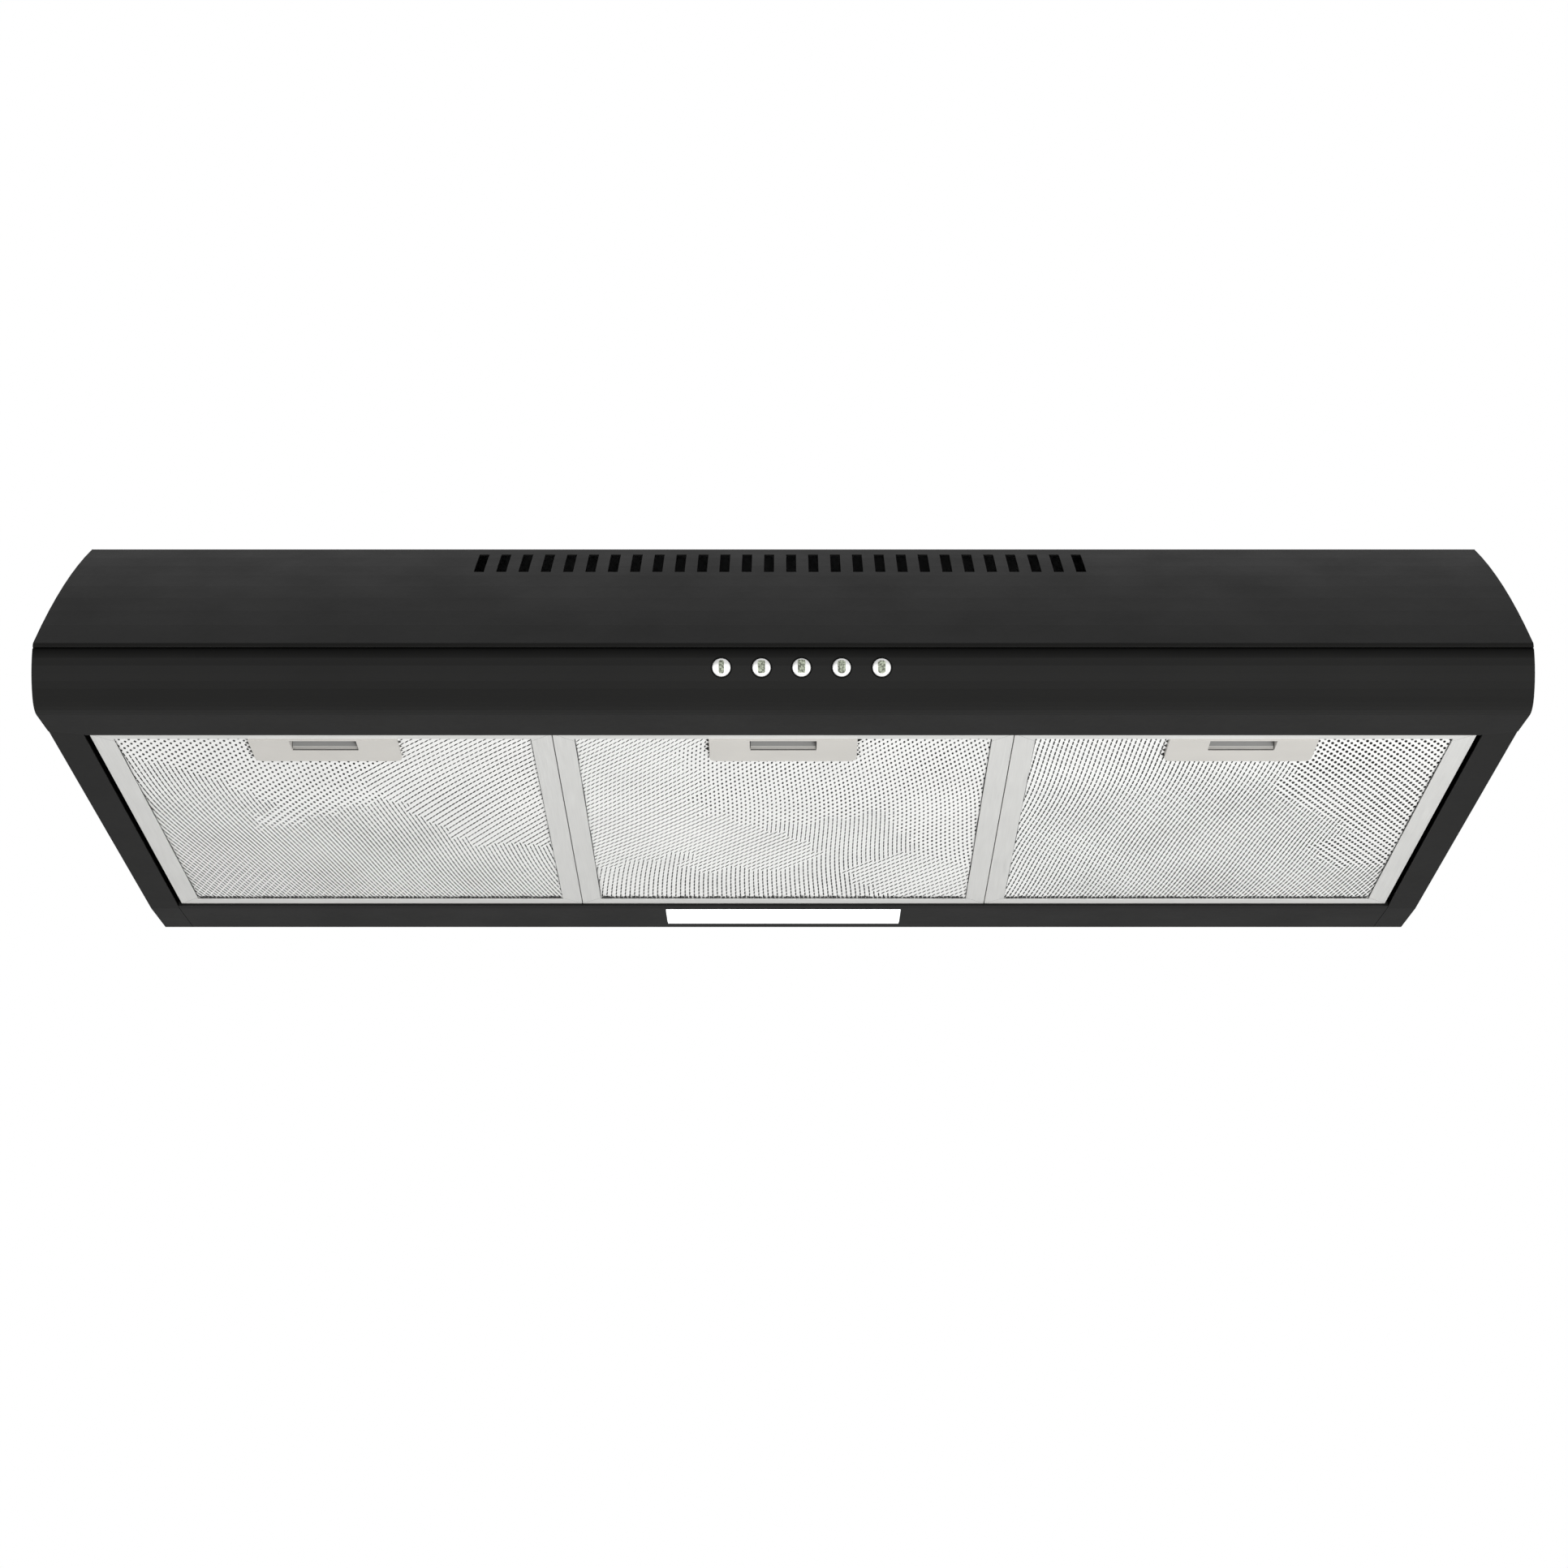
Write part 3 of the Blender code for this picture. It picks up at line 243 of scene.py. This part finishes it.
def polished(name, colour, roughness, metallic=1.0):
    """Bright metal with very fine turning marks."""
    made = Surface(name, colour, roughness, metallic=metallic)
    marks = made.noise(0.4 * MM, 2, (14, 1, 1))
    made.shades(made.noise(0.006, 3), 0.93, 1.04)
    made.rough(marks, roughness * 0.7, roughness * 1.6)
    made.bump(marks, 0.000006, 0.3)
    return made.material


def speckled():
    """The buttons' pad-printed marks: satin grey-green, broken up by the bright face under them."""
    made = Surface("button_mark", (0.21, 0.23, 0.18), 0.45, metallic=0.3)
    grains = made.calc("ADD", made.noise(0.0011, 2), made.calc("MULTIPLY", made.noise(0.004, 2), 0.3))
    made.shades(made.remap(grains, (0.52, 0.85), (0, 1)), 0.4, 2.6)
    made.rough(grains, 0.36, 0.56)
    made.bump(grains, 0.00003, 0.4)
    return made.material


def rubber():
    made = Surface("rubber", (0.022, 0.022, 0.022), 0.62)
    made.shades(made.noise(0.01, 4), 0.75, 1.25)
    made.rough(made.noise(0.004, 3), 0.54, 0.72)
    made.bump(made.noise(0.0008, 2), 0.00005, 0.5)
    return made.material


def lens_material():
    """Frosted acrylic over a lit lamp, brightest in front of the bulb, with fine ribs."""
    made = Surface("lamp_lens", (0.90, 0.91, 0.91), 0.34)
    along = made.calc("ABSOLUTE", made.axis("X"))
    glow = made.remap(along, (0.0, LAMP_REACH), (1.0, 0.80))
    mottle = made.remap(made.noise(0.02, 2), (0.3, 0.7), (0.98, 1.02))
    made.shader.inputs["Emission Color"].default_value = (0.97, 0.99, 1.0, 1)
    made.link(made.calc("MULTIPLY", glow, mottle), "Emission Strength")
    ribs = made.calc("SINE", made.calc("MULTIPLY", made.axis("X"), 2 * math.pi / RIB_PITCH))
    made.shades(made.noise(0.01, 3), 0.97, 1.02)
    made.rough(made.noise(0.002, 2), 0.28, 0.42)
    made.bump(ribs, 0.00005, 0.4)
    return made.material


def opal():
    made = Surface("bulb_glass", (0.93, 0.93, 0.90), 0.18)
    made.shades(made.noise(0.02, 3), 0.95, 1.04)
    made.rough(made.noise(0.006, 3), 0.12, 0.26)
    made.bump(made.noise(0.004, 2), 0.00002, 0.3)
    return made.material


def floor_material():
    made = Surface("floor", (0.80, 0.80, 0.79), 0.7)
    made.shades(made.noise(0.9, 3), 0.98, 1.01)
    made.rough(made.noise(0.3, 3), 0.62, 0.78)
    made.bump(made.noise(0.004, 2), 0.0001, 0.2)
    return made.material


MATERIALS = {
    "black_enamel": enamel("black_enamel"),
    # The control panel's enamel has painted shade just below its joint with the front cover
    "panel_enamel": enamel("panel_enamel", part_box("control_panel")[1].z),
    "galvanised": zinc(),
    "aluminium": brushed(),
    "filter_mesh": mesh_metal("filter_mesh", (0.94, 0.94, 0.925), 0.42),
    # Painted shade: the filter's own bright foil, darkened to stand for the shade inside the stack
    "shaded_inner_mesh": mesh_metal("shaded_inner_mesh", (0.12, 0.12, 0.117), 0.5),
    # Painted shade: near-black foil for the core, standing for the shade deep inside the filter
    "painted_shade_core": mesh_metal("painted_shade_core", (0.07, 0.07, 0.068), 0.6),
    # Painted shade: near-black sheets drawn where the mesh's openings, its side gaps and the latch opening lie in
    # shade
    "painted_gap_shade": moulded("painted_gap_shade", (0.03, 0.03, 0.03), 0.7),
    "latch_plastic": moulded("latch_plastic", (0.545, 0.53, 0.50), 0.46),
    # Painted shade: a darker copy of the latch plastic for the sliders, whose recessed faces lie in shade
    "shaded_latch_plastic": moulded("shaded_latch_plastic", (0.27, 0.27, 0.265), 0.42),
    "chrome": polished("chrome", (0.94, 0.94, 0.93), 0.12, metallic=0.45),
    "mark": speckled(),
    "black_plastic": moulded("black_plastic", (0.006, 0.006, 0.006), 0.5, specular=0.2),
    "lens": lens_material(),
    "bulb_glass": opal(),
    "grey_plastic": moulded("grey_plastic", (0.17, 0.17, 0.18), 0.5, 0.002),
    "white_plastic": moulded("white_plastic", (0.74, 0.74, 0.72), 0.42, 0.002),
    "steel": polished("bright_steel", (0.58, 0.58, 0.57), 0.28),
    "rubber": rubber(),
}


# Pieces


def dress(node, material):
    """Gives a CAD node its finished material."""
    slots = frame["nodes"][node].data.materials
    slots.clear()
    slots.append(MATERIALS[material])


def dress_nodes():
    """Every CAD node takes the finish of its material slot, or its own version of it."""
    for part in frame["record"]["subparts"]:
        dress(part["node"], part["material_slot"])
    for name in FILTERS:
        # The sliders take the darker copy of the latch plastic, as painted shade
        dress(f"filter_{name}_latch", "shaded_latch_plastic")
    # The control panel takes the enamel with painted shade below its top edge
    dress("control_panel", "panel_enamel")


def piece(name, mesh, material, body, smooth_angle=None):
    """A new piece from a bmesh, riding on a CAD body."""
    data = bpy.data.meshes.new(name)
    mesh.to_mesh(data)
    mesh.free()
    data.materials.append(MATERIALS[material])
    if smooth_angle:
        data.shade_smooth()
        data.set_sharp_from_angle(angle=math.radians(smooth_angle))
    made = bpy.data.objects.new(name, data)
    bpy.context.scene.collection.objects.link(made)
    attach(made, body)
    return made


def add_box(mesh, low, high):
    """A box between two corners, added to a bmesh."""
    low, high = Vector(low), Vector(high)
    size = Matrix.Diagonal((*(high - low), 1))
    bmesh.ops.create_cube(mesh, size=1, matrix=Matrix.Translation((low + high) / 2) @ size)


def add_turned(mesh, profile, steps, matrix):
    """A (radius, height) profile turned about Z, starting and ending on the axis."""
    rings = []
    for radius, height in profile:
        angles = [2 * math.pi * i / steps for i in range(steps if radius else 1)]
        points = [Vector((radius * math.cos(a), radius * math.sin(a), height)) for a in angles]
        rings.append([mesh.verts.new(matrix @ p) for p in points])
    for one, other in zip(rings, rings[1:]):
        for i in range(steps):
            j = (i + 1) % steps
            corners = (one[i % len(one)], one[j % len(one)], other[j % len(other)], other[i % len(other)])
            mesh.faces.new(dict.fromkeys(corners))
    bmesh.ops.recalc_face_normals(mesh, faces=mesh.faces)


# Filter mesh

PITCH_X = 5.8 * MM  # between holes in a row
PITCH_Y = 7.7 * MM  # between every other row
# Where the rear bar clamps the mesh
MESH_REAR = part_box("filter_middle_frame")[1].y - HINGE_TAB - REAR_BORDER - 0.2 * MM
DECAL_GAP = 0.05 * MM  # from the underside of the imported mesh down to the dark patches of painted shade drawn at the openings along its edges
# A hole's shape: the way from its middle to its tip, the way to its side, and the share of the way to the tip
# at which its corners lie
COLUMN = ((0, 3.65 * MM), (0.37 * MM, 0), 0.8)
WIDE = ((0.1 * MM, 2.3 * MM), (0.8 * MM, 0), 0.55)
RISING = ((0.2 * MM, 0.88 * MM), (1.2 * MM, -1.6 * MM), 0.55)
SHORT = ((0.1 * MM, 1.9 * MM), (0.62 * MM, 0), 0.55)
# For each filter: how its columns lean, how that changes with y and x, its phase and its strands' twist, and
# where each hole shape rules, in millimetres from the filter's middle
LAYS = {
    "left": (
        (0.13, 0.8, -0.4, 0.4, 0.13 * MM),
        ((-90, 60, COLUMN), (0, 120, COLUMN), (90, 90, COLUMN), (-110, -60, COLUMN), (-20, -70, SHORT),
         (-80, -140, SHORT), (60, -40, RISING), (110, -120, RISING), (120, -20, RISING), (20, 20, COLUMN)),
    ),
    "middle": (
        (0.0, -0.1, 0.7, 2.1, 0.25 * MM),
        ((-110, -80, RISING), (-90, 30, RISING), (-100, 130, COLUMN), (-10, -60, SHORT), (-30, 60, RISING),
         (20, 130, COLUMN), (50, 30, COLUMN), (60, -60, SHORT), (110, -80, SHORT), (110, 40, SHORT),
         (100, 130, RISING)),
    ),
    "right": (
        (-0.12, -0.3, -0.12, 4.0, -0.2 * MM),
        ((-110, -90, COLUMN), (-100, 40, COLUMN), (-60, 130, COLUMN), (20, -20, COLUMN), (-20, -110, COLUMN),
         (60, 80, COLUMN), (70, -110, WIDE), (120, -40, WIDE), (130, 50, WIDE), (110, 140, COLUMN)),
    ),
}


def crimped(x, y, lay):
    """Where a lattice point of a hand-laid sheet ends up, as across, along and up."""
    lean, by_y, by_x, phase, _ = lay
    across = x + (lean + by_y * y / 2 + by_x * x) * y + 1.3 * MM * math.sin(y / 0.036 + phase + x / 0.11)
    along = y + 1.4 * MM * math.sin(x / 0.041 + 2 * phase) - 0.3 * lean * x
    return across, along, 0.12 * MM * math.sin(x / 0.021 + y / 0.034 + phase)


def hole_shape(x, y, lay, shapes):
    """The tip, side and corners of the hole at a point, by the nearest region, wandering at the borders."""
    phase = lay[3]
    u = x + 14 * MM * math.sin(y / 0.019 + phase) + 5 * MM * math.sin(x / 0.007 + y / 0.005)
    v = y + 16 * MM * math.sin(x / 0.023 + 2 * phase) + 6 * MM * math.sin(y / 0.006 - x / 0.008)
    nearest = min(shapes, key=lambda s: math.hypot(u - s[0] * MM, v - s[1] * MM))
    size = 0.96 + 0.05 * math.sin(x / 0.017 + phase) * math.sin(y / 0.025)
    size += 0.06 * math.sin(x / 0.0031 + 2 * math.sin(y / 0.0043))
    return [(a * size, b * size) for a, b in nearest[2][:2]] + [nearest[2][2]]


def room_for_hole(x, y, low, high, window):
    """Whether a hole at a point is clear of the sheet's edges and of the opening for the latch."""
    inside = low[0] + 1.5 * MM < x < high[0] - 1.5 * MM and low[1] + 2 * MM < y < high[1] - 2 * MM
    in_window = abs(x - (low[0] + high[0]) / 2) < window[0] and y < window[1]
    return inside and not in_window


def expanded_sheet(low, high, z, lay, shapes, window):
    """A sheet of expanded metal: a lattice of knots, with a hole with a twisted rim between each four."""
    mesh = bmesh.new()
    middle = ((low[0] + high[0]) / 2, (low[1] + high[1]) / 2)
    knots = {}

    def at(x, y, lift=0.0):
        x, y, wave = crimped(x, y, lay)
        x = min(max(middle[0] + x, low[0]), high[0])
        y = min(max(middle[1] + y, low[1]), high[1])
        return mesh.verts.new((x, y, z + wave + lift))

    def knot(i, j):
        if (i, j) not in knots:
            knots[i, j] = at(i * PITCH_X / 2, j * PITCH_Y / 2)
        return knots[i, j]

    def cell(i, j, shape):
        (up_x, up_y), (side_x, side_y), turn = shape
        twist = lay[4] if side_y == 0 else abs(lay[4])
        u, v = i * PITCH_X / 2, j * PITCH_Y / 2
        rim = []
        for a, b in ((turn, 1), (1, 0), (turn, -1), (-turn, -1), (-1, 0), (-turn, 1)):
            rim.append(at(u + a * up_x + b * side_x, v + a * up_y + b * side_y, b * twist))
        right, top, left, bottom = knot(i + 1, j), knot(i, j + 1), knot(i - 1, j), knot(i, j - 1)
        mesh.faces.new((right, top, rim[1], rim[0]))
        mesh.faces.new((top, left, rim[2], rim[1]))
        mesh.faces.new((left, rim[3], rim[2]))
        mesh.faces.new((left, bottom, rim[4], rim[3]))
        mesh.faces.new((bottom, right, rim[5], rim[4]))
        mesh.faces.new((right, rim[0], rim[5]))

    # The lattice leans, so it starts wider than the sheet
    columns = int((high[0] - low[0]) / PITCH_X * 1.4) + 2
    rows = int((high[1] - low[1]) / PITCH_Y * 1.2) + 2
    for i in range(-columns, columns + 1):
        for j in range(-rows + (i + rows) % 2, rows + 1, 2):
            x, y, _ = crimped(i * PITCH_X / 2, j * PITCH_Y / 2, lay)
            if room_for_hole(middle[0] + x, middle[1] + y, low, high, window):
                cell(i, j, hole_shape(x, y, lay, shapes))
    return mesh


def core_sheet(low, high, window):
    """The core of a filter's mesh, darkened as painted shade, behind the opening for the latch and on both sides
    of it.
    """
    mesh = bmesh.new()
    left, right = low.x + 1 * MM, high.x - 1 * MM
    bottom, top = low.z + 3 * MM, high.z - 1.8 * MM
    add_box(mesh, (left, window[1] + 1 * MM, bottom), (right, high.y - 1 * MM, top))
    middle, half_gap = (low.x + high.x) / 2, window[0] + 1 * MM
    for start, end in ((left, middle - half_gap), (middle + half_gap, right)):
        add_box(mesh, (start, low.y + 1 * MM, bottom), (end, window[1] + 0.9 * MM, top))
    return mesh


def filter_meshes():
    """Each filter's stack: two sheets below, the upper of them darkened as painted shade, a core darkened as
    painted shade, and a sheet on top.
    """
    for name in FILTERS:
        low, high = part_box(f"filter_{name}_mesh")
        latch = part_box(f"filter_{name}_latch_plate")
        window = ((latch[1].x - latch[0].x) / 2 + 0.5 * MM, latch[1].y + 0.5 * MM)
        body = f"filter_{name}"
        lay, shapes = LAYS[name]
        inner = (lay[0] + 0.06, *lay[1:3], lay[3] + 1.3, lay[4])
        layers = (
            ("weave", low.z + 0.55 * MM, lay, "filter_mesh"),
            # The inner sheet takes the darkened copy of the foil, as painted shade
            ("weave_inner", low.z + 1.9 * MM, inner, "shaded_inner_mesh"),
            ("weave_top", high.z - 0.6 * MM, inner, "filter_mesh"),
        )
        for layer, z, laid, material in layers:
            mesh = expanded_sheet(low.xy, high.xy, z, laid, shapes, window)
            piece(f"filter_{name}_{layer}", mesh, material, body)
        piece(f"filter_{name}_core", core_sheet(low, high, window), "painted_shade_core", body)
        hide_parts(f"filter_{name}_mesh")


def open_cell_shades(name, phase):
    """The row of open cells along the rear edge of a filter's mesh, where the border clamps it, drawn as dark
    patches of painted shade.
    """
    low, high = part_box(f"filter_{name}_mesh")
    y = MESH_REAR
    mesh = bmesh.new()
    count = int((high.x - low.x - 25 * MM) / (PITCH_X / 2))
    for i in range(count):
        x = (low.x + high.x) / 2 + (i - (count - 1) / 2) * PITCH_X / 2
        width = 0.95 * MM + 0.2 * MM * math.sin(1.7 * i + phase) + 0.3 * MM * abs(2 * i / count - 1) ** 4
        length = 3.0 * MM + 0.7 * MM * math.sin(0.9 * i + 2 * phase)
        lean = 0.25 * MM * math.sin(0.11 * i + phase)
        corners = [(x - width, y - length), (x + width, y - length)]
        corners += [(x + width + lean, y), (x - width + lean, y)]
        mesh.faces.new([mesh.verts.new((*c, low.z - DECAL_GAP)) for c in corners])
    piece(f"filter_{name}_open_cell_shades", mesh, "painted_gap_shade", f"filter_{name}")


def side_gap_shades(name, phase):
    """The dark line of uneven width between a filter's mesh and each of its side bars: painted shade in the gap.
    """
    low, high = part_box(f"filter_{name}_mesh")
    frame_low, frame_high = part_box(f"filter_{name}_frame")
    length = MESH_REAR - low.y - 12 * MM
    steps = 12
    mesh = bmesh.new()
    for side, edge in ((-1, frame_low.x + SIDE_BORDER), (1, frame_high.x - SIDE_BORDER)):
        ys = [low.y + 10 * MM + length * i / steps for i in range(steps + 1)]
        widths = [0.45 * MM + 0.2 * MM * math.sin(1.9 * i + phase + side) for i in range(steps + 1)]
        outer = [mesh.verts.new((edge, y, low.z - DECAL_GAP)) for y in ys]
        inner = [mesh.verts.new((edge - side * w, y, low.z - DECAL_GAP)) for y, w in zip(ys, widths)]
        for i in range(steps):
            corners = (outer[i], outer[i + 1], inner[i + 1], inner[i])
            mesh.faces.new(corners if side > 0 else corners[::-1])
    piece(f"filter_{name}_side_gap_shades", mesh, "painted_gap_shade", f"filter_{name}")


def latch_bead(name):
    """The light rounded bead along the lower edge of a latch's skirt, with its ends drawn in."""
    low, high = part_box(f"filter_{name}_latch")
    middle = Vector(((low.x + high.x) / 2, high.y - 1.45 * MM, low.z + 0.5 * MM))
    half_length = (high.x - low.x) / 2 + 0.2 * MM
    angles = [math.pi * (i + 0.5) / 8 for i in range(16)]
    profile = [(1.65 * MM * math.cos(a), 0.55 * MM * math.sin(a)) for a in angles]
    mesh = bmesh.new()
    rings = []
    for end, size in ((-1, 0.6), (-0.985, 1.0), (0.985, 1.0), (1, 0.6)):
        ring = [middle + Vector((end * half_length, y * size, z * size)) for y, z in profile]
        rings.append([mesh.verts.new(p) for p in ring])
    for one, other in zip(rings, rings[1:]):
        for i in range(len(profile)):
            mesh.faces.new((one[i - 1], one[i], other[i], other[i - 1]))
    mesh.faces.new(rings[0])
    mesh.faces.new(rings[-1])
    bmesh.ops.recalc_face_normals(mesh, faces=mesh.faces)
    piece(f"filter_{name}_latch_bead", mesh, "latch_plastic", f"latch_{name}", 40)


def latch_shadow(name):
    """The dark strip below the bead, on the rear wall of the opening in a latch's plate."""
    low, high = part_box(f"filter_{name}_latch")
    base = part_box(f"filter_{name}_latch_plate")[0].z
    y = high.y - 1.05 * MM
    bottom, top = base + 0.15 * MM, base + 0.85 * MM
    mesh = bmesh.new()
    corners = ((low.x, bottom), (high.x, bottom), (high.x, top), (low.x, top))
    mesh.faces.new([mesh.verts.new((x, y, z)) for x, z in corners])
    piece(f"filter_{name}_latch_shadow", mesh, "painted_gap_shade", f"filter_{name}")


def filter_details():
    """The painted shade in the openings round each filter's mesh, and the bead and painted shadow at the lower
    edge of each latch.
    """
    for phase, name in enumerate(FILTERS):
        open_cell_shades(name, phase)
        side_gap_shades(name, phase)
    for name in FILTERS:
        latch_bead(name)
        latch_shadow(name)


# Buttons

BUTTON_SEGMENTS = 48
FACE_RADIUS = 5.2 * MM
RIM_RADIUS = 5.5 * MM
STEM_RADIUS = 2.8 * MM
CAP_END = -7.4 * MM  # height of the cap's rear end, from the apex of its face
STEM_END = -21.9 * MM  # height of the stem's rear end
# Each mark's half width, its lower and upper ends up the face, and how far its ends draw in
MARKS = {
    "light": (1.6 * MM, -3.6 * MM, 4.3 * MM, 0.3),
    "off": (2.2 * MM, -3.5 * MM, 4.3 * MM, 0.25),
    "low": (2.25 * MM, -3.3 * MM, 4.7 * MM, 0.1),
    "medium": (2.35 * MM, -3.6 * MM, 4.3 * MM, 0.6),
    "high": (2.3 * MM, -3.6 * MM, 4.2 * MM, 0.6),
}


def button_frame(name):
    """Where a button's face is: its apex, with local z out of the panel and local y up the panel."""
    joint = next(j for j in frame["joints"] if j["name"] == f"press_{name}")
    out = -Vector(joint["axis"]).normalized()
    points = [v.co for v in frame["nodes"][f"button_{name}"].data.vertices]
    apex = max(points, key=lambda p: p.dot(out))
    across = Vector((1, 0, 0))
    up = out.cross(across)
    return Matrix.Translation(apex) @ Matrix((across, up, out)).transposed().to_4x4()


def crown(radius):
    """Height of a button's bright face from its apex, at a distance from the middle."""
    return -0.10 * MM - 0.9 * MM * (radius / FACE_RADIUS) ** 2.2


def button_cap(name, place):
    """A bright convex button on its stem."""
    face = [FACE_RADIUS * i / 10 for i in range(11)]
    profile = [(r, crown(r)) for r in face] + [(5.42 * MM, -1.3 * MM), (RIM_RADIUS, -1.6 * MM)]
    profile += [(RIM_RADIUS, CAP_END), (STEM_RADIUS, CAP_END), (STEM_RADIUS, STEM_END), (0, STEM_END)]
    mesh = bmesh.new()
    add_turned(mesh, profile, BUTTON_SEGMENTS, place)
    made = piece(f"button_{name}_cap", mesh, "chrome", f"button_{name}", 40)
    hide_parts(f"button_{name}")


def button_mark(name, place):
    """The upright satin mark on a button's face."""
    rows, columns = 14, 5
    half_width, low_y, high_y, taper = MARKS[name]
    mesh = bmesh.new()
    grid = []
    for j in range(rows + 1):
        t = 2 * j / rows - 1
        y = (low_y + high_y) / 2 + (high_y - low_y) / 2 * t
        width = half_width * (1 - taper * (max(0.0, abs(t) - 0.7) / 0.3) ** 2)
        xs = [width * (2 * i / columns - 1) for i in range(columns + 1)]
        points = [Vector((x, y, crown(math.hypot(x, y)) + 0.05 * MM)) for x in xs]
        grid.append([mesh.verts.new(place @ p) for p in points])
    for one, other in zip(grid, grid[1:]):
        for i in range(columns):
            mesh.faces.new((one[i], one[i + 1], other[i + 1], other[i]))
    piece(f"button_{name}_mark", mesh, "mark", f"button_{name}", 60)


def buttons():
    for name in BUTTONS:
        place = button_frame(name)
        button_cap(name, place)
        button_mark(name, place)


# Stage


def look_at(obj, point):
    obj.rotation_euler = (Vector(point) - obj.location).to_track_quat("-Z", "Y").to_euler()


def soft_light(name, at, aim, size, power):
    light = bpy.data.lights.new(name, "AREA")
    light.shape = "RECTANGLE"
    light.size, light.size_y = size
    light.energy = power
    made = bpy.data.objects.new(name, light)
    bpy.context.scene.collection.objects.link(made)
    made.location = at
    look_at(made, aim)
    made.visible_camera = False
    made.visible_glossy = False


# Grey by the height of a direction, from straight down (-1) to straight up (1): what shiny parts mirror in
# front and behind, and the light that falls on everything
SWEEP_IN_FRONT = (
    (-1, 0.68), (-0.5, 0.9), (-0.05, 0.86), (0.08, 0.36),
    (0.20, 0.057), (0.45, 0.014), (0.75, 0.11), (1, 0.3),
)
SWEEP_BEHIND = (
    (-1, 0.64), (-0.7, 0.43), (-0.5, 0.2), (-0.34, 0.12),
    (0.1, 0.143), (0.6, 0.17), (0.87, 0.235), (1, 0.3),
)
FILL = ((-1, 0.84), (0, 0.8), (0.3, 0.45), (1, 0.45))
FRONT_TO_REAR = ((-0.35, 0), (0.35, 1))  # how the sweep in front gives way to the one behind, along y
BRIGHTNESS = 1.4  # of the whole studio, as the greys stop at 1
FLOOR_TOP = -2.70
FLOOR_THICKNESS = 0.02
FLOOR_HALF = 3.5
CAMERA_AT = (0.0005, -2.1569, -0.8912)
CAMERA_TILT = math.radians(19.5)  # how far it looks up


def ramp(tree, value, stops):
    """A grey that follows stops over a value from -1 to 1."""
    share = tree.nodes.new("ShaderNodeMapRange")
    share.inputs["From Min"].default_value = -1
    tree.links.new(value, share.inputs["Value"])
    made = tree.nodes.new("ShaderNodeValToRGB")
    tree.links.new(share.outputs[0], made.inputs[0])
    elements = made.color_ramp.elements
    while len(elements) < len(stops):
        elements.new(0.5)
    for element, (position, grey) in zip(elements, stops):
        element.position = (position + 1) / 2
        element.color = (grey, grey, grey, 1)
    return made.outputs[0]


def studio():
    """A white sweep in front of and under the hood, dim overhead and behind, with even fill light."""
    world = bpy.data.worlds.new("studio")
    bpy.context.scene.world = world
    world.use_nodes = True
    tree = world.node_tree
    tree.nodes.clear()
    coords = tree.nodes.new("ShaderNodeTexCoord")
    split = tree.nodes.new("ShaderNodeSeparateXYZ")
    tree.links.new(coords.outputs["Generated"], split.inputs[0])
    front = ramp(tree, split.outputs["Z"], SWEEP_IN_FRONT)
    rear = ramp(tree, split.outputs["Z"], SWEEP_BEHIND)
    side = ramp(tree, split.outputs["Y"], FRONT_TO_REAR)
    fill = ramp(tree, split.outputs["Z"], FILL)
    path = tree.nodes.new("ShaderNodeLightPath")

    def blend(factor, one, other):
        made = tree.nodes.new("ShaderNodeMix")
        made.data_type = "RGBA"
        for index, socket in ((0, factor), (6, one), (7, other)):
            tree.links.new(socket, made.inputs[index])
        return made.outputs[2]

    seen = blend(path.outputs["Is Glossy Ray"], fill, blend(side, front, rear))
    white = tree.nodes.new("ShaderNodeRGB").outputs[0]
    white.default_value = (1 / BRIGHTNESS, 1 / BRIGHTNESS, 1 / BRIGHTNESS, 1)
    light = tree.nodes.new("ShaderNodeBackground")
    light.inputs["Strength"].default_value = BRIGHTNESS
    tree.links.new(blend(path.outputs["Is Camera Ray"], seen, white), light.inputs[0])
    output = tree.nodes.new("ShaderNodeOutputWorld")
    tree.links.new(light.outputs[0], output.inputs[0])
    soft_light("low_softbox", at=(0.9, -1.7, -1.8), aim=(0, 0, -0.15), size=(0.9, 0.9), power=45)


def floor():
    mesh = bmesh.new()
    low = (-FLOOR_HALF, -FLOOR_HALF, FLOOR_TOP - FLOOR_THICKNESS)
    add_box(mesh, low, (FLOOR_HALF, FLOOR_HALF, FLOOR_TOP))
    data = bpy.data.meshes.new("floor")
    mesh.to_mesh(data)
    mesh.free()
    data.materials.append(floor_material())
    made = bpy.data.objects.new("floor", data)
    bpy.context.scene.collection.objects.link(made)


def camera():
    """Below and in front of the hood, looking up at its controls and filters."""
    data = bpy.data.cameras.new("camera")
    data.lens = 79
    data.sensor_width = 36
    made = bpy.data.objects.new("camera", data)
    bpy.context.scene.collection.objects.link(made)
    made.location = CAMERA_AT
    made.rotation_euler = (math.radians(90) + CAMERA_TILT, 0, 0)
    bpy.context.scene.camera = made


dress_nodes()
filter_meshes()
filter_details()
buttons()
studio()
floor()
camera()
bpy.context.scene.view_settings.view_transform = "Standard"
